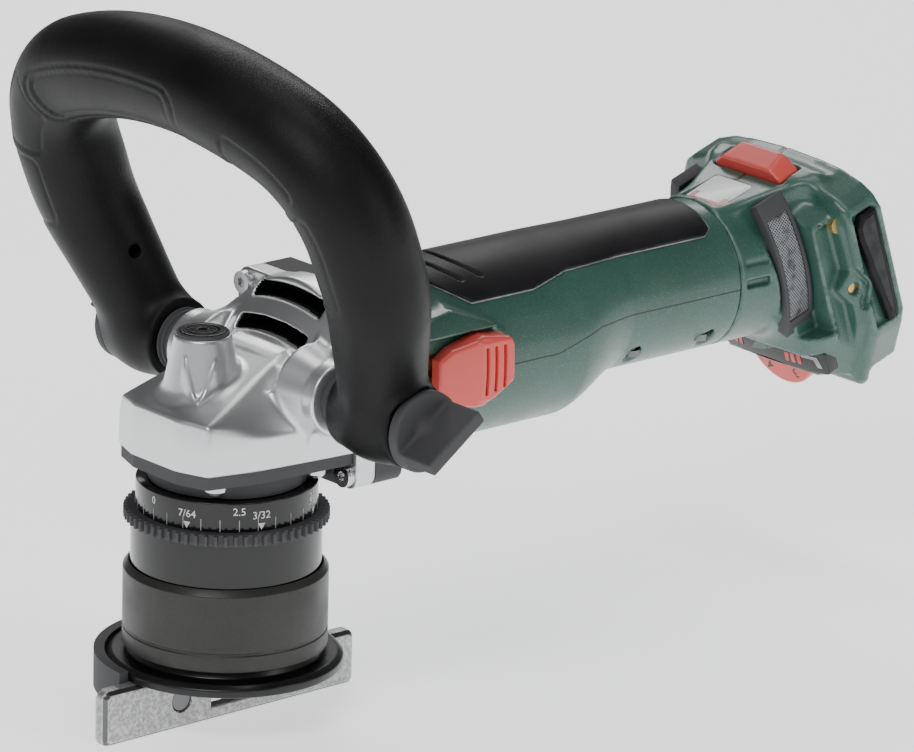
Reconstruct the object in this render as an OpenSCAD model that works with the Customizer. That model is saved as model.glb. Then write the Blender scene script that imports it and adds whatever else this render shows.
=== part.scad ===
// Cordless edge milling and bevelling machine with a bail handle and a turning battery foot.
// The origin is where the spindle axis meets the underside of the round guide plate.
// +X runs back to the battery foot, +Z up the spindle, -Y is the side with the slide switch.

/* [Motor housing and grip] */
// Height of the motor axis over the guide face
motor_z = 84; // [81:0.5:92]
// Radius of the motor housing
motor_r = 28.6; // [27:0.1:34.4]
// Radius of the rear grip
grip_r = 23.7; // [22.5:0.1:26.2]
// Wall of the plastic shells
shell_wall = 2.6; // [2:0.1:3.2]
// Length of the wide motor section behind the gear housing
motor_len = 86; // [80:1:104]
// Length of the grip from the end of the taper to the turning joint
grip_len = 46; // [38:1:60]

/* [Gear housing] */
// Underside of the gear housing over the guide face
head_z = 67.5; // [65:0.5:68]
// Distance from the spindle axis to the housing's nose
head_nose = 28.6; // [27:0.1:35]
// Half width of the housing at its rear
head_half = 29; // [27:0.5:33]
// Distance from the spindle axis to the rear face of the housing
head_back = 34; // [34:0.5:41]
// Half spacing of the four housing screws
flange_half = 24.4; // [23:0.1:26]

/* [Spindle and cutter] */
// Radius of the spindle in its lower bearing
spindle_r = 6; // [5:0.1:6.5]
// Teeth on the bevel gear
gear_teeth = 36; // [36]
// Teeth on the pinion
pinion_teeth = 12; // [12]
// Radius of the motor shaft
motor_shaft_r = 4; // [3.4:0.1:4.6]
// How far the spindle lock button goes in
lock_travel = 3; // [2:0.1:3.2]
// Radius of the spindle lock button
lock_button_r = 6.95; // [5.8:0.05:7.2]

/* [Depth adjuster and guide] */
// Radius of the round guide plate
plate_r = 36; // [34:0.5:43]
// Thickness of the round guide plate
plate_t = 3.7; // [3.1:0.1:4.4]
// Radius of the outer guide sleeve
sleeve_r = 31.1; // [30:0.1:33]
// Wall of the outer guide sleeve
sleeve_wall = 1.9; // [1.6:0.1:2.3]
// Height of the top of the guide sleeve
sleeve_top = 31.9; // [27:0.1:35]
// Radius of the scale drum
drum_r = 27.5; // [26:0.1:28.5]
// Teeth round the knurled ring
knurl_teeth = 64; // [54:1:76]
// Radius of the fixed guide tube
tube_r = 21; // [19.5:0.1:22.5]
// Travel of the guide from the deepest to the finest cut
depth_travel = 3; // [2:0.1:3.6]

/* [Fence] */
// Half length of the fence
fence_half = 48.5; // [40:0.5:57]
// Height of the fence under the guide face
fence_h = 17.6; // [14:0.1:20]
// Thickness of the fence
fence_t = 4.5; // [3.8:0.1:5.4]
// Distance from the spindle axis to the fence's working face
fence_y = 3.6; // [3:0.1:4.3]

/* [Bail handle] */
// Radius of the handle's tube
bail_r = 16; // [14:0.1:17]
// Radius of the handle's legs near the pivot
leg_r = 12.9; // [11.5:0.1:14]
// Half spacing of the legs at the top of the handle, axis to axis
bail_half = 69.4; // [66:0.2:84]
// Half spacing of the legs at the pivot
pivot_half = 54.2; // [53:0.2:57]
// Height of the handle's centre line over its pivot
bail_h = 104; // [90:0.2:124]
// Forward tilt of the handle, in degrees
bail_tilt = 20.5; // [0:0.5:40]
// Distance from the spindle axis back to the handle's pivot
pivot_x = 15; // [13:0.5:17]
// Height of the handle's pivot over the motor axis
pivot_rise = 4; // [2:0.5:6]
// Radius of the handle's clamping bolts
bolt_r = 4; // [3.3:0.1:4.8]

/* [Battery foot] */
// Width of the battery foot
foot_w = 79; // [72:0.5:94]
// Length of the battery foot along its sloping face
foot_l = 75.5; // [75:0.5:95]
// Slope of the battery face from upright, in degrees
foot_slope = 18.7; // [12:0.1:22]
// Thickness of the foot's block
foot_d = 14; // [13:0.5:17]
// Distance from the turning joint back to the battery face at the grip axis
foot_reach = 52; // [48:0.5:62]
// Width of the battery slide's pocket
pocket_w = 60; // [50:0.5:62]
// Depth of the battery slide's pocket
pocket_d = 11; // [9:0.5:12]

/* [Hidden] */
$fn = 64;

// Clearances
run_gap = 0.05;     // radial, shaft in bore
part_gap = 0.3;     // between faces that slide or turn past each other
cut = 0.5;          // how far a cutter runs past a face
weld = 0.2;         // how far one solid of a part runs into the next

// Motor housing and grip
top_z = motor_z + motor_r;
grip_z = top_z - grip_r;
motor_end = head_back + motor_len;
taper_len = 21;
grip_start = motor_end + taper_len;
grip_end = grip_start + grip_len;
seam_rise_x = motor_end - 13;
air_ring_t = 10.5;
shell_x = head_back + air_ring_t;

// Gear train: both pitch cones meet at the crossing of the axes
cone_angle = atan(pinion_teeth / gear_teeth);
tooth_in = 14.8;
tooth_out = 20.4;
tooth_w = 0.9;
tooth_root = 1.0;
tooth_tip = 0.5;
gear_base = 10.8;        // under the motor axis
gear_top = motor_z - 6;
lock_x = 10;
lock_pin_r = 1.7;
lock_holes = 12;
pinion_front = tooth_in * cos(cone_angle) - 0.7;

// Gear housing levels
wall_top = head_z + 10.9;
brow_z = wall_top + 4.5;
nose_z = brow_z + 1.1;
roof_z = nose_z + 14;
roof_x = 10.6;
roof_half = 12;
button_z = 105.8;
rim_r = lock_button_r + 1.5;
rim_z = button_z - 1.2;
button_t = 4.4;
lock_seat = button_z - button_t - lock_travel - 1.3;
arch_r = motor_r + 2.6;
flange_t = 7.5;
flange_x = head_back - flange_t;
screw_hole_r = 2.2;
screw_head_r = 3.5;
screw_head_h = 2.4;
ear_r = 4.4;
cavity_r = 21.4;

// Bearings
low_bearing_r = 15;
low_bearing_h = 9;
bush_r = 7;
bush_h = 9;
bush_spindle_r = 4.8;
bush_z = motor_z - 1;

// Neck
bearing_plate_t = 4;
neck_r = 24;

// Depth adjuster stack
web_low = 6.3;
web_high = 11.2;
inner_top = web_high + 9;
ring_low = inner_top + depth_travel + 0.8;
knurl_low = 45.6;
knurl_high = 49.2;
plate_screw_head_r = 3.4;
drum_top = 58.3;
knurl_r = sleeve_r;
ring_sleeve_r = sleeve_r - sleeve_wall - part_gap;
key_w = 4;

// Fence and carrier
carrier_r = plate_r + 3.6;
carrier_low = 8;
fence_screw_x = 19.1;
fence_screw_z = 8.3;
window_half = 7.7;
window_low = 3.6;

// Handle
pivot_z = motor_z + pivot_rise;
hub_in = head_half + 6;
hub_out = pivot_half - leg_r - part_gap;
boss_r = leg_r - 0.6;
hub_r = 8.7;
hub_ribs = 4;
side_boss_r = 11.4;
leg_lean = 19;
leg_arc = 45;
corner_arc = 34.3;
crown_turn = 20.6;
core_r = 8;
core_low = 16;           // the core ends above the clamping bolts
swell_h = 60;
near_boss_out = leg_r + 3;
far_boss_out = leg_r - 2;
lever_t = 4;
lever_r = 12.4;
near_wing = 17;
far_wing = 8;
wing_turn = 35.6;

// Foot
turn_x = grip_end + part_gap;
neck_bore_r = grip_r - 3.7;
swivel_r = neck_bore_r - run_gap;
face_x = turn_x + foot_reach;
foot_top = 36.6;
foot_low = foot_l - foot_top;
foot_neck_end = turn_x + 25;
rail_t = 3;
blade_t = 0.8;
foot_screw_points = [[-pocket_d - 3, foot_top - 13], [-pocket_d - 3, 0.6]];
label_lean = 9.6;
label_x = turn_x + 10.5;
label_z = grip_z + grip_r - 0.3;
dial_r = 15.2;
dial_x = -foot_d - 6.4;
dial_z = 14.6 - foot_low;
release_x = -foot_d - 4.6;
release_z = foot_top - 4.7;
release_half = 15;
strip_x = dial_x - 6.6;
strip_z = dial_z - 1.4;
strip_half = 26;
strip_t = 4;
strip_h = 8;
filter_d0 = -33.6;
filter_w = 11.4;
filter_low = -12;
filter_len = 50;
filter_r = 58;
filter_t = 4;
filter_y = 25;

// Cutter
cutter_tip = 3.4;
cutter_open_r = 19;
spindle_low = 6.6;
cone_mid_x = 8.6;
cone_mid_z = 1.8;

// Shell screws and the motor's rear bearing
rear_bearing_x = head_back + 64;
shell_screw_x = [grip_start + 6, grip_end - 11.5];

// Slide switch
switch_out = motor_r + 6.4;
switch_x = 70;
switch_z = motor_z + 2;
switch_travel = 8;
// The switch's tongue meets its link here, just inside the shell's wall
link_face = motor_r - shell_wall - 0.6;
link_t = 1.6;
switch_len = 27;
switch_h = 22;

function arc_points(cx, cy, r, a0, a1, n) =
    [for (i = [0:n]) [cx + r * cos(a0 + (a1 - a0) * i / n), cy + r * sin(a0 + (a1 - a0) * i / n)]];
function mirror_points(p) =
    concat(p, [for (i = [len(p) - 1:-1:0]) [p[i][0], -p[i][1]]]);

module x_cyl(x0, x1, r, z) {
    translate([x0, 0, z]) rotate([0, 90, 0]) cylinder(h = x1 - x0, r = r);
}

module x_tube(x0, x1, r_out, r_in, z) {
    difference() {
        x_cyl(x0, x1, r_out, z);
        x_cyl(x0 - cut, x1 + cut, r_in, z);
    }
}

module y_cyl(y0, y1, r) {
    translate([0, y0, 0]) rotate([-90, 0, 0]) cylinder(h = y1 - y0, r = r);
}

module tube(z0, z1, r_out, r_in) {
    translate([0, 0, z0]) difference() {
        cylinder(h = z1 - z0, r = r_out);
        translate([0, 0, -cut]) cylinder(h = z1 - z0 + 2 * cut, r = r_in);
    }
}

// A prism across the tool: a side outline in X and Z, from y0 to y1
module side_prism(points, y0, y1) {
    translate([0, y1, 0]) rotate([90, 0, 0]) linear_extrude(y1 - y0) polygon(points);
}

// A solid through a run of rings, all with the same number of points
module ring_sweep(rings) {
    n = len(rings[0]);
    last = len(rings) - 1;
    walls = [for (i = [0:last - 1], k = [0:n - 1])
        [i * n + k, (i + 1) * n + k, (i + 1) * n + (k + 1) % n, i * n + (k + 1) % n]];
    caps = [[for (k = [0:n - 1]) k], [for (k = [n - 1:-1:0]) last * n + k]];
    polyhedron([for (ring = rings) each ring], concat(walls, caps));
}

module helix(coil_r, wire_r, height, turns) {
    sides = 8;
    steps = 12 * turns;
    ring_sweep([for (i = [0:steps]) [for (k = [0:sides - 1])
        let (a = 30 * i, b = 360 * k / sides, r = coil_r + wire_r * cos(b))
        [r * cos(a), r * sin(a), height * i / steps + wire_r * sin(b)]]]);
}

// ---- Gear housing -------------------------------------------------------

module flange_outline() {
    for (y = [-flange_half, flange_half], z = [-flange_half, flange_half])
        translate([y, z]) circle(ear_r);
    square([2 * flange_half, 2 * (flange_half + ear_r)], center = true);
    square([2 * (flange_half + ear_r), 2 * flange_half], center = true);
}

// The flange outline, upright, from x0 to x1
module flange_block(x0, x1) {
    translate([x0, 0, motor_z]) rotate([90, 0, 90]) linear_extrude(x1 - x0) flange_outline();
}

module at_flange_screws() {
    for (y = [-flange_half, flange_half], z = [-flange_half, flange_half])
        translate([0, y, motor_z + z]) children();
}

head_plan = [
    [-head_nose, 10.6], [3.9 - head_nose, 21.5], [9.3 - head_nose, 22.8],
    [20.3 - head_nose, head_half - 3.5], [flange_x + 2, head_half]
];
head_edges = [
    [-head_nose + 0.6, 10.8, nose_z - 0.4], [4.4 - head_nose, 20.9, brow_z],
    [flange_x + 2, head_half - 5.5, brow_z + 6], [2.1 - head_nose, roof_half - 1, nose_z],
    [roof_x, roof_half, roof_z], [flange_x + 2, roof_half, roof_z]
];

module head_block() {
    hull() {
        translate([0, 0, head_z]) linear_extrude(wall_top - head_z) polygon(mirror_points(head_plan));
        for (p = head_edges, s = [-1, 1])
            translate([p[0], s * p[1], p[2]]) cube(0.02, center = true);
    }
}

arch_side = [
    [roof_x - 3, wall_top - 6], [roof_x - 3, roof_z - 4], [roof_x + 2.5, roof_z - 2],
    [roof_x + 6.2, roof_z + 3.4], [roof_x + 11, roof_z + 9.4], [roof_x + 14.2, roof_z + 13.2],
    [roof_x + 17, motor_z + arch_r + 1], [head_back, motor_z + arch_r + 1], [head_back, wall_top - 6]
];

module louvre(z, x) {
    translate([x, -15.8, z]) cube([flange_x + 3 - x, 31.6, 4.2]);
}

module gear_housing() {
    color([0.78, 0.79, 0.8]) difference() {
        union() {
            head_block();
            intersection() {
                x_cyl(roof_x - 3, head_back, arch_r, motor_z);
                side_prism(arch_side, -arch_r, arch_r);
            }
            flange_block(flange_x, head_back);
            translate([-lock_x, 0, motor_z]) cylinder(h = rim_z - motor_z, r1 = 12.8, r2 = rim_r);
            for (s = [-1, 1])
                translate([pivot_x, s * (head_half - 9), pivot_z]) rotate([-90 * s, 0, 0]) {
                    cylinder(h = hub_in + 9 - head_half, r = side_boss_r);
                    cylinder(h = 13, r1 = side_boss_r + 6, r2 = side_boss_r);
                }
        }
        // Gear chamber, spindle bush and bearing seat
        translate([0, 0, head_z - cut]) cylinder(h = motor_z - head_z - 2, r = cavity_r);
        translate([0, 0, bush_z]) cylinder(h = bush_h, r = bush_r);
        translate([0, 0, motor_z - 4]) cylinder(h = 4, r = spindle_r + 1);
        // Pinion chamber and motor bearing seat
        x_cyl(0, flange_x - 3, 8.4, motor_z);
        x_cyl(flange_x - 5, flange_x + 3, 11, motor_z);
        x_cyl(flange_x + 3 - weld, head_back + cut, motor_r - shell_wall - 0.6, motor_z);
        // Spindle lock
        translate([-lock_x, 0, lock_seat]) cylinder(h = rim_z - lock_seat + cut, r = lock_button_r + run_gap);
        translate([-lock_x, 0, lock_seat - 5.4]) cylinder(h = 5.4 + weld, r = 5);
        translate([-lock_x, 0, gear_top - 2]) cylinder(h = rim_z - gear_top, r = lock_pin_r + run_gap);
        // Cooling air leaves through two slots over the front of the motor
        louvre(roof_z - 0.2, roof_x);
        louvre(roof_z + 8.8, roof_x + 6);
        // Screw holes
        at_flange_screws() rotate([0, 90, 0]) translate([0, 0, flange_x - cut])
            cylinder(h = flange_t + 2 * cut, r = screw_hole_r);
        at_flange_screws() rotate([0, 90, 0]) translate([0, 0, flange_x - screw_head_h - 1])
            cylinder(h = screw_head_h + 1, r = screw_head_r + part_gap);
        for (p = plate_screw_points)
            translate([p[0], p[1], head_z - cut]) cylinder(h = 9, r = 1.75);
        // Room for the scale drum under the flange
        translate([0, 0, knurl_high]) cylinder(h = drum_top - knurl_high + part_gap, r = drum_r + 2 * part_gap);
        for (s = [-1, 1])
            translate([pivot_x, s * (hub_in - 7), pivot_z]) rotate([-90 * s, 0, 0])
                cylinder(h = 8, r = bolt_r + run_gap);
    }
}

plate_screw_points = [
    [9.2 - head_nose, 18.6], [9.2 - head_nose, -18.6], [15, 23], [15, -23]
];

module bearing_plate() {
    color([0.09, 0.09, 0.1]) difference() {
        union() {
            translate([0, 0, head_z - bearing_plate_t]) linear_extrude(bearing_plate_t)
                polygon(mirror_points([
                    [0.8 - head_nose, 10.2], [4.4 - head_nose, 20.7], [9.6 - head_nose, 22],
                    [20.3 - head_nose, head_half - 4.3], [flange_x - part_gap, head_half - 2]
                ]));
            tube(drum_top + part_gap, head_z - weld, neck_r, tube_r - 2);
        }
        translate([0, 0, drum_top]) cylinder(h = head_z, r = low_bearing_r);
        for (p = plate_screw_points)
            translate([p[0], p[1], drum_top]) {
                cylinder(h = head_z, r = 1.9);
                cylinder(h = head_z - bearing_plate_t - drum_top, r = plate_screw_head_r + part_gap);
            }
    }
}

module plate_screws() {
    color([0.75, 0.75, 0.76]) for (p = plate_screw_points)
        translate([p[0], p[1], 0]) {
            translate([0, 0, head_z - bearing_plate_t]) cylinder(h = bearing_plate_t + 7, r = 1.7);
            translate([0, 0, head_z - bearing_plate_t - 1.2]) cylinder(h = 1.2, r = plate_screw_head_r);
            translate([0, 0, head_z - bearing_plate_t - 2.4])
                cylinder(h = 1.2, r1 = 2.2, r2 = plate_screw_head_r);
        }
}

module flange_screws() {
    color([0.75, 0.75, 0.76]) at_flange_screws() rotate([0, 90, 0]) difference() {
        union() {
            translate([0, 0, flange_x]) cylinder(h = flange_t + air_ring_t - 1, r = 2);
            translate([0, 0, flange_x - screw_head_h]) cylinder(h = screw_head_h, r = screw_head_r);
        }
        translate([0, 0, flange_x - screw_head_h - cut]) cylinder(h = 1.6 + cut, r = 1.7, $fn = 6);
    }
}

module spindle_bearing() {
    color([0.7, 0.71, 0.72])
        tube(head_z - low_bearing_h, head_z, low_bearing_r - run_gap, spindle_r + run_gap);
}

module top_bush() {
    color([0.72, 0.58, 0.3])
        tube(bush_z, bush_z + bush_h - 1, bush_r - run_gap, bush_spindle_r + run_gap);
}

module guide_tube() {
    color([0.3, 0.3, 0.31]) difference() {
        union() {
            tube(13, drum_top + part_gap, tube_r, tube_r - 3.4);
            tube(drum_top - 5, drum_top + part_gap, tube_r, low_bearing_r - 0.4);
        }
        for (z = [29:2:43])
            tube(z, z + 0.8, tube_r + cut, tube_r - 0.7);
        translate([0, tube_r, 18]) cube([key_w, 3, 24], center = true);
    }
}

module air_ring() {
    color([0.09, 0.09, 0.1]) difference() {
        union() {
            flange_block(head_back, shell_x - part_gap);
            x_cyl(head_back, shell_x - part_gap, motor_r - 0.6, motor_z);
        }
        x_cyl(head_back - cut, shell_x + cut, motor_r - shell_wall - 0.6, motor_z);
        at_flange_screws() rotate([0, 90, 0]) translate([0, 0, head_back - cut])
            cylinder(h = air_ring_t, r = screw_hole_r);
    }
}

// Ribbed hub between the gear housing and a leg of the handle, on side s
module hub(s) {
    translate([pivot_x, 0, pivot_z]) difference() {
        rotate([-90 * s, 0, 0]) union() {
            translate([0, 0, hub_in]) cylinder(h = hub_out - hub_in, r = hub_r - 0.8);
            for (i = [0:hub_ribs - 1])
                translate([0, 0, hub_in + 0.3 + i * (hub_out - hub_in - 0.4) / hub_ribs])
                    cylinder(h = 1.1, r = hub_r + 0.5 * i);
        }
        y_cyl(-pivot_half, pivot_half, bolt_r + run_gap);
    }
}

module near_hub() {
    color([0.1, 0.1, 0.1]) hub(-1);
}

module far_hub() {
    color([0.1, 0.1, 0.1]) hub(1);
}

// ---- Motor --------------------------------------------------------------

module motor_bearings() {
    color([0.7, 0.71, 0.72]) {
        x_tube(flange_x - 5, flange_x + 3, 11 - run_gap, motor_shaft_r + run_gap, motor_z);
        x_tube(rear_bearing_x, rear_bearing_x + 7, 9.5, motor_shaft_r + run_gap, motor_z);
    }
}

module stator() {
    color([0.6, 0.38, 0.2]) difference() {
        x_tube(head_back + 18, head_back + 54, motor_r - shell_wall - part_gap, 15.4, motor_z);
        for (i = [0:5])
            translate([0, 0, motor_z]) rotate([60 * i + 30, 0, 0])
                translate([head_back + 17, -2, 14]) cube([38, 4, 8]);
        // Flat behind the switch, with a groove for its link
        translate([head_back + 17, -motor_r, switch_z - 8]) cube([38, motor_r - link_face + 0.4, 16]);
        translate([head_back + 17, -motor_r, switch_z - 2]) cube([38, motor_r - link_face + link_t + 0.4, 4]);
    }
}

module rotor() {
    color([0.42, 0.42, 0.44])
        x_tube(head_back + 19, head_back + 53, 14.8, motor_shaft_r, motor_z);
}

module motor_shaft() {
    color([0.8, 0.8, 0.82]) {
        x_cyl(flange_x - 6, rear_bearing_x + 8, motor_shaft_r, motor_z);
        x_cyl(pinion_front - 0.4, flange_x - 6 + weld, 2.2, motor_z);
    }
}

module cooling_fan() {
    color([0.12, 0.12, 0.13]) {
        x_tube(head_back + 3, head_back + 13, 7, motor_shaft_r, motor_z);
        x_tube(head_back + 10.5, head_back + 12.5, motor_r - 5, 6.8, motor_z);
        for (i = [0:10])
            translate([0, 0, motor_z]) rotate([i * 360 / 11, 0, 0])
                translate([head_back + 3.5, -0.8, 6.5]) cube([8, 1.6, motor_r - 12.5]);
    }
}

module bevel_tooth(low, high) {
    translate([tooth_in, -tooth_w / 2, low]) cube([tooth_out - tooth_in, tooth_w, high - low]);
}

function cone_x(l, up) = l * cos(cone_angle) + up * sin(cone_angle);
function cone_z(l, up) = -l * sin(cone_angle) + up * cos(cone_angle);

module bevel_pinion() {
    color([0.55, 0.55, 0.57]) translate([0, 0, motor_z]) {
        rotate([0, 90, 0]) rotate_extrude() polygon([
            [2.2, cone_x(tooth_in, tooth_root)], [-cone_z(tooth_in, tooth_root), cone_x(tooth_in, tooth_root)],
            [-cone_z(tooth_out, tooth_root), cone_x(tooth_out, tooth_root)],
            [-cone_z(tooth_out, tooth_root), cone_x(tooth_out, tooth_root) + 0.8],
            [2.2, cone_x(tooth_out, tooth_root) + 0.8]
        ]);
        for (i = [0:pinion_teeth - 1])
            rotate([(i + 0.5) * 360 / pinion_teeth, 0, 0]) rotate([0, cone_angle, 0])
                bevel_tooth(-tooth_tip, tooth_root + weld);
    }
}

// ---- Spindle ------------------------------------------------------------

module spindle() {
    color([0.72, 0.73, 0.75]) {
        translate([0, 0, spindle_low]) cylinder(h = motor_z - 4.5 - spindle_low, r = spindle_r);
        translate([0, 0, motor_z - 4.5 - weld])
            cylinder(h = bush_z + bush_h - motor_z + 3.5, r = bush_spindle_r);
        translate([0, 0, head_z - low_bearing_h - 3]) cylinder(h = 2.6, r = spindle_r + 2);
    }
}

module bevel_gear() {
    color([0.5, 0.5, 0.52]) difference() {
        union() {
            translate([0, 0, motor_z]) rotate_extrude() polygon([
                [spindle_r, -6.3], [9, -6.3], [cone_x(tooth_in, -tooth_root), cone_z(tooth_in, -tooth_root)],
                [cone_x(tooth_out, -tooth_root), cone_z(tooth_out, -tooth_root)],
                [cone_x(tooth_out, -tooth_root) - 0.6, -gear_base + 0.6],
                [12, -gear_base - 1], [spindle_r, -gear_base - 3]
            ]);
            translate([0, 0, motor_z]) for (i = [0:gear_teeth - 1])
                rotate([0, 0, i * 360 / gear_teeth]) rotate([0, cone_angle, 0])
                    bevel_tooth(-tooth_root - weld, tooth_tip);
        }
        for (i = [0:lock_holes - 1])
            rotate([0, 0, i * 360 / lock_holes]) translate([lock_x, 0, motor_z - gear_base - 6])
                cylinder(h = gear_base + 5, r = lock_pin_r + 0.5);
    }
}

module at_inserts() {
    for (i = [0:2])
        rotate([0, 0, 120 * i]) translate([cone_mid_x, 0, cone_mid_z]) rotate([0, 45, 0]) children();
}

module cutter_head() {
    color([0.66, 0.67, 0.69]) difference() {
        rotate_extrude() polygon([
            [0, -cutter_tip], [2.2, -cutter_tip], [2.6, -cutter_tip + 0.4], [13.4, 7.4], [13.8, 8.4],
            [13.8, 15], [12.8, 16], [spindle_r + run_gap, 16],
            [spindle_r + run_gap, spindle_low], [0, spindle_low]
        ]);
        at_inserts() translate([-4.6, -4, -0.2]) cube([9.2, 16, 6]);
        at_inserts() translate([0, 0, -2.8]) cylinder(h = 3, r = 1.2);
    }
}

module cutter_inserts() {
    color([0.85, 0.72, 0.3]) at_inserts() translate([0, 0, 1.25 - 0.2]) difference() {
        cube([8.4, 7, 2.4], center = true);
        cylinder(h = 4, r = 1.3, center = true);
    }
}

module insert_screws() {
    color([0.3, 0.3, 0.32]) at_inserts() translate([0, 0, -2.6]) cylinder(h = 4.2, r = 1.15);
}

// ---- Spindle lock -------------------------------------------------------

module lock_button() {
    color([0.07, 0.07, 0.08]) translate([-lock_x, 0, 0]) difference() {
        union() {
            translate([0, 0, button_z - button_t]) cylinder(h = button_t, r = lock_button_r);
            translate([0, 0, motor_z - 5.2]) cylinder(h = button_z - motor_z + 2, r = lock_pin_r);
        }
        translate([0, 0, button_z - 0.7]) cylinder(h = 2, r = 1.5);
        tube(button_z - 0.5, button_z + cut, 5.2, 4.4);
    }
}

module lock_spring() {
    color([0.6, 0.6, 0.62]) translate([-lock_x, 0, lock_seat - 4.9])
        helix(3.4, 0.45, button_z - button_t - lock_seat + 4.4, 5);
}

// ---- Depth adjuster -----------------------------------------------------

module scale_drum() {
    color([0.08, 0.08, 0.09]) tube(knurl_high, drum_top, drum_r, tube_r + part_gap);
}

module knurled_ring() {
    pitch = 360 / knurl_teeth;
    color([0.08, 0.08, 0.09]) translate([0, 0, knurl_low]) difference() {
        linear_extrude(knurl_high - knurl_low) polygon([
            for (i = [0:knurl_teeth - 1], k = [0:3])
                let (a = pitch * (i + [0, 0.12, 0.5, 0.62][k]), r = knurl_r - [1.3, 0, 0, 1.3][k])
                [r * cos(a), r * sin(a)]
        ]);
        translate([0, 0, -cut]) cylinder(h = knurl_high, r = tube_r + part_gap);
    }
}

module ring_sleeve() {
    color([0.06, 0.06, 0.07]) tube(ring_low, knurl_low, ring_sleeve_r, tube_r + part_gap);
}

// ---- Guide --------------------------------------------------------------

module guide_sleeve() {
    color([0.22, 0.22, 0.21]) difference() {
        rotate_extrude() polygon([
            [tube_r + run_gap, web_low], [sleeve_r, web_low], [sleeve_r, web_high],
            [sleeve_r - 0.3, web_high + 0.3], [sleeve_r - 0.3, web_high + 0.8], [sleeve_r, web_high + 1.1],
            [sleeve_r, sleeve_top - 1.6], [sleeve_r - sleeve_wall + 0.1, sleeve_top],
            [sleeve_r - sleeve_wall, sleeve_top], [sleeve_r - sleeve_wall, inner_top],
            [tube_r + run_gap, inner_top]
        ]);
        for (i = [0:5])
            rotate([0, 0, 60 * i]) translate([tube_r + 4, 0, web_low - cut]) cylinder(h = 8, r = 1.7);
    }
    color([0.22, 0.22, 0.21]) translate([0, tube_r, web_high]) difference() {
        cube([key_w - 2 * part_gap, 2.4, 7], center = true);
        translate([0, 2.4 / 2 + 0.3 + weld, 0]) cube([key_w, 2.4 - weld, 8], center = true);
    }
}

module guide_plate() {
    color([0.06, 0.06, 0.07]) difference() {
        rotate_extrude() polygon([
            [cutter_open_r, 0], [plate_r, 0], [plate_r, plate_t - 1.3], [plate_r - 1.8, plate_t],
            [29.6, plate_t], [28.6, web_low], [cutter_open_r, web_low]
        ]);
        for (i = [0:5])
            rotate([0, 0, 60 * i]) translate([tube_r + 4, 0, -cut]) cylinder(h = 8, r = 1.9);
    }
}

module fence_carrier() {
    rear = fence_t - fence_y;
    color([0.55, 0.55, 0.56]) difference() {
        union() {
            intersection() {
                tube(-carrier_low, plate_t - 0.2, carrier_r, plate_r + part_gap);
                translate([-carrier_r, rear, -carrier_low]) cube([2 * carrier_r, carrier_r, 30]);
            }
            intersection() {
                tube(-carrier_low, 0, carrier_r, cutter_open_r);
                translate([-carrier_r, rear, -carrier_low]) cube([2 * carrier_r, carrier_r, 30]);
            }
            intersection() {
                translate([-carrier_r, rear, -fence_h]) cube([2 * carrier_r, 5, fence_h]);
                tube(-fence_h, 0, carrier_r, cutter_open_r);
            }
        }
        intersection() {
            tube(-carrier_low - cut, -2.6, plate_r, cutter_open_r + 3);
            translate([-carrier_r, rear + 8, -carrier_low - 1]) cube([2 * carrier_r, carrier_r, 30]);
        }
        for (s = [-1, 1])
            translate([s * fence_screw_x, 0, -fence_screw_z]) y_cyl(rear - cut, rear + 5 + cut, 1.6);
    }
}

module fence_rail() {
    r = 2.5;
    color([0.7, 0.7, 0.71]) difference() {
        side_prism(concat(
            arc_points(-fence_half + r, -fence_h + r, r, 180, 270, 6),
            arc_points(fence_half - r, -fence_h + r, r, 270, 360, 6),
            arc_points(fence_half - r, -r, r, 0, 90, 6),
            arc_points(-fence_half + r, -r, r, 90, 180, 6)
        ), -fence_y, fence_t - fence_y);
        side_prism([
            [-window_half, -fence_h + window_low], [window_half, -fence_h + window_low],
            [window_half, -8], [15.5, -0.6], [15.5, cut], [-15.5, cut], [-15.5, -0.6], [-window_half, -8]
        ], -fence_y - cut, fence_t);
        for (s = [-1, 1])
            translate([s * fence_screw_x, 0, -fence_screw_z]) {
                y_cyl(-fence_y - cut, fence_t, 2.1);
                y_cyl(-fence_y - cut, -fence_y + 2.4, 3.6);
            }
    }
}

module fence_screws() {
    color([0.35, 0.35, 0.37]) for (s = [-1, 1])
        translate([s * fence_screw_x, 0, -fence_screw_z]) {
            y_cyl(-fence_y + 0.5, -fence_y + 2.4, 3.3);
            y_cyl(-fence_y + 2.4 - weld, fence_t - fence_y + 4.6, 1.55);
        }
}

// ---- Bail handle --------------------------------------------------------

// The handle's centre line: a leaning straight, an arc, an upright, a corner arc and a shallow crown
leg_run = (bail_half - pivot_half - leg_arc * (1 - cos(leg_lean))) / tan(leg_lean);
crown_end = bail_half - corner_arc + corner_arc * sin(crown_turn);
crown_r = crown_end / sin(crown_turn);
arc_top = leg_run + leg_arc * sin(leg_lean);
leg_top = bail_h - corner_arc * cos(crown_turn) - crown_r * (1 - cos(crown_turn));

// Carries the handle's own plane, drawn as across and up, to its place over the pivot
module on_bail() {
    translate([pivot_x, 0, pivot_z]) rotate([0, -bail_tilt, 0]) rotate([90, 0, 90]) children();
}

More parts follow.
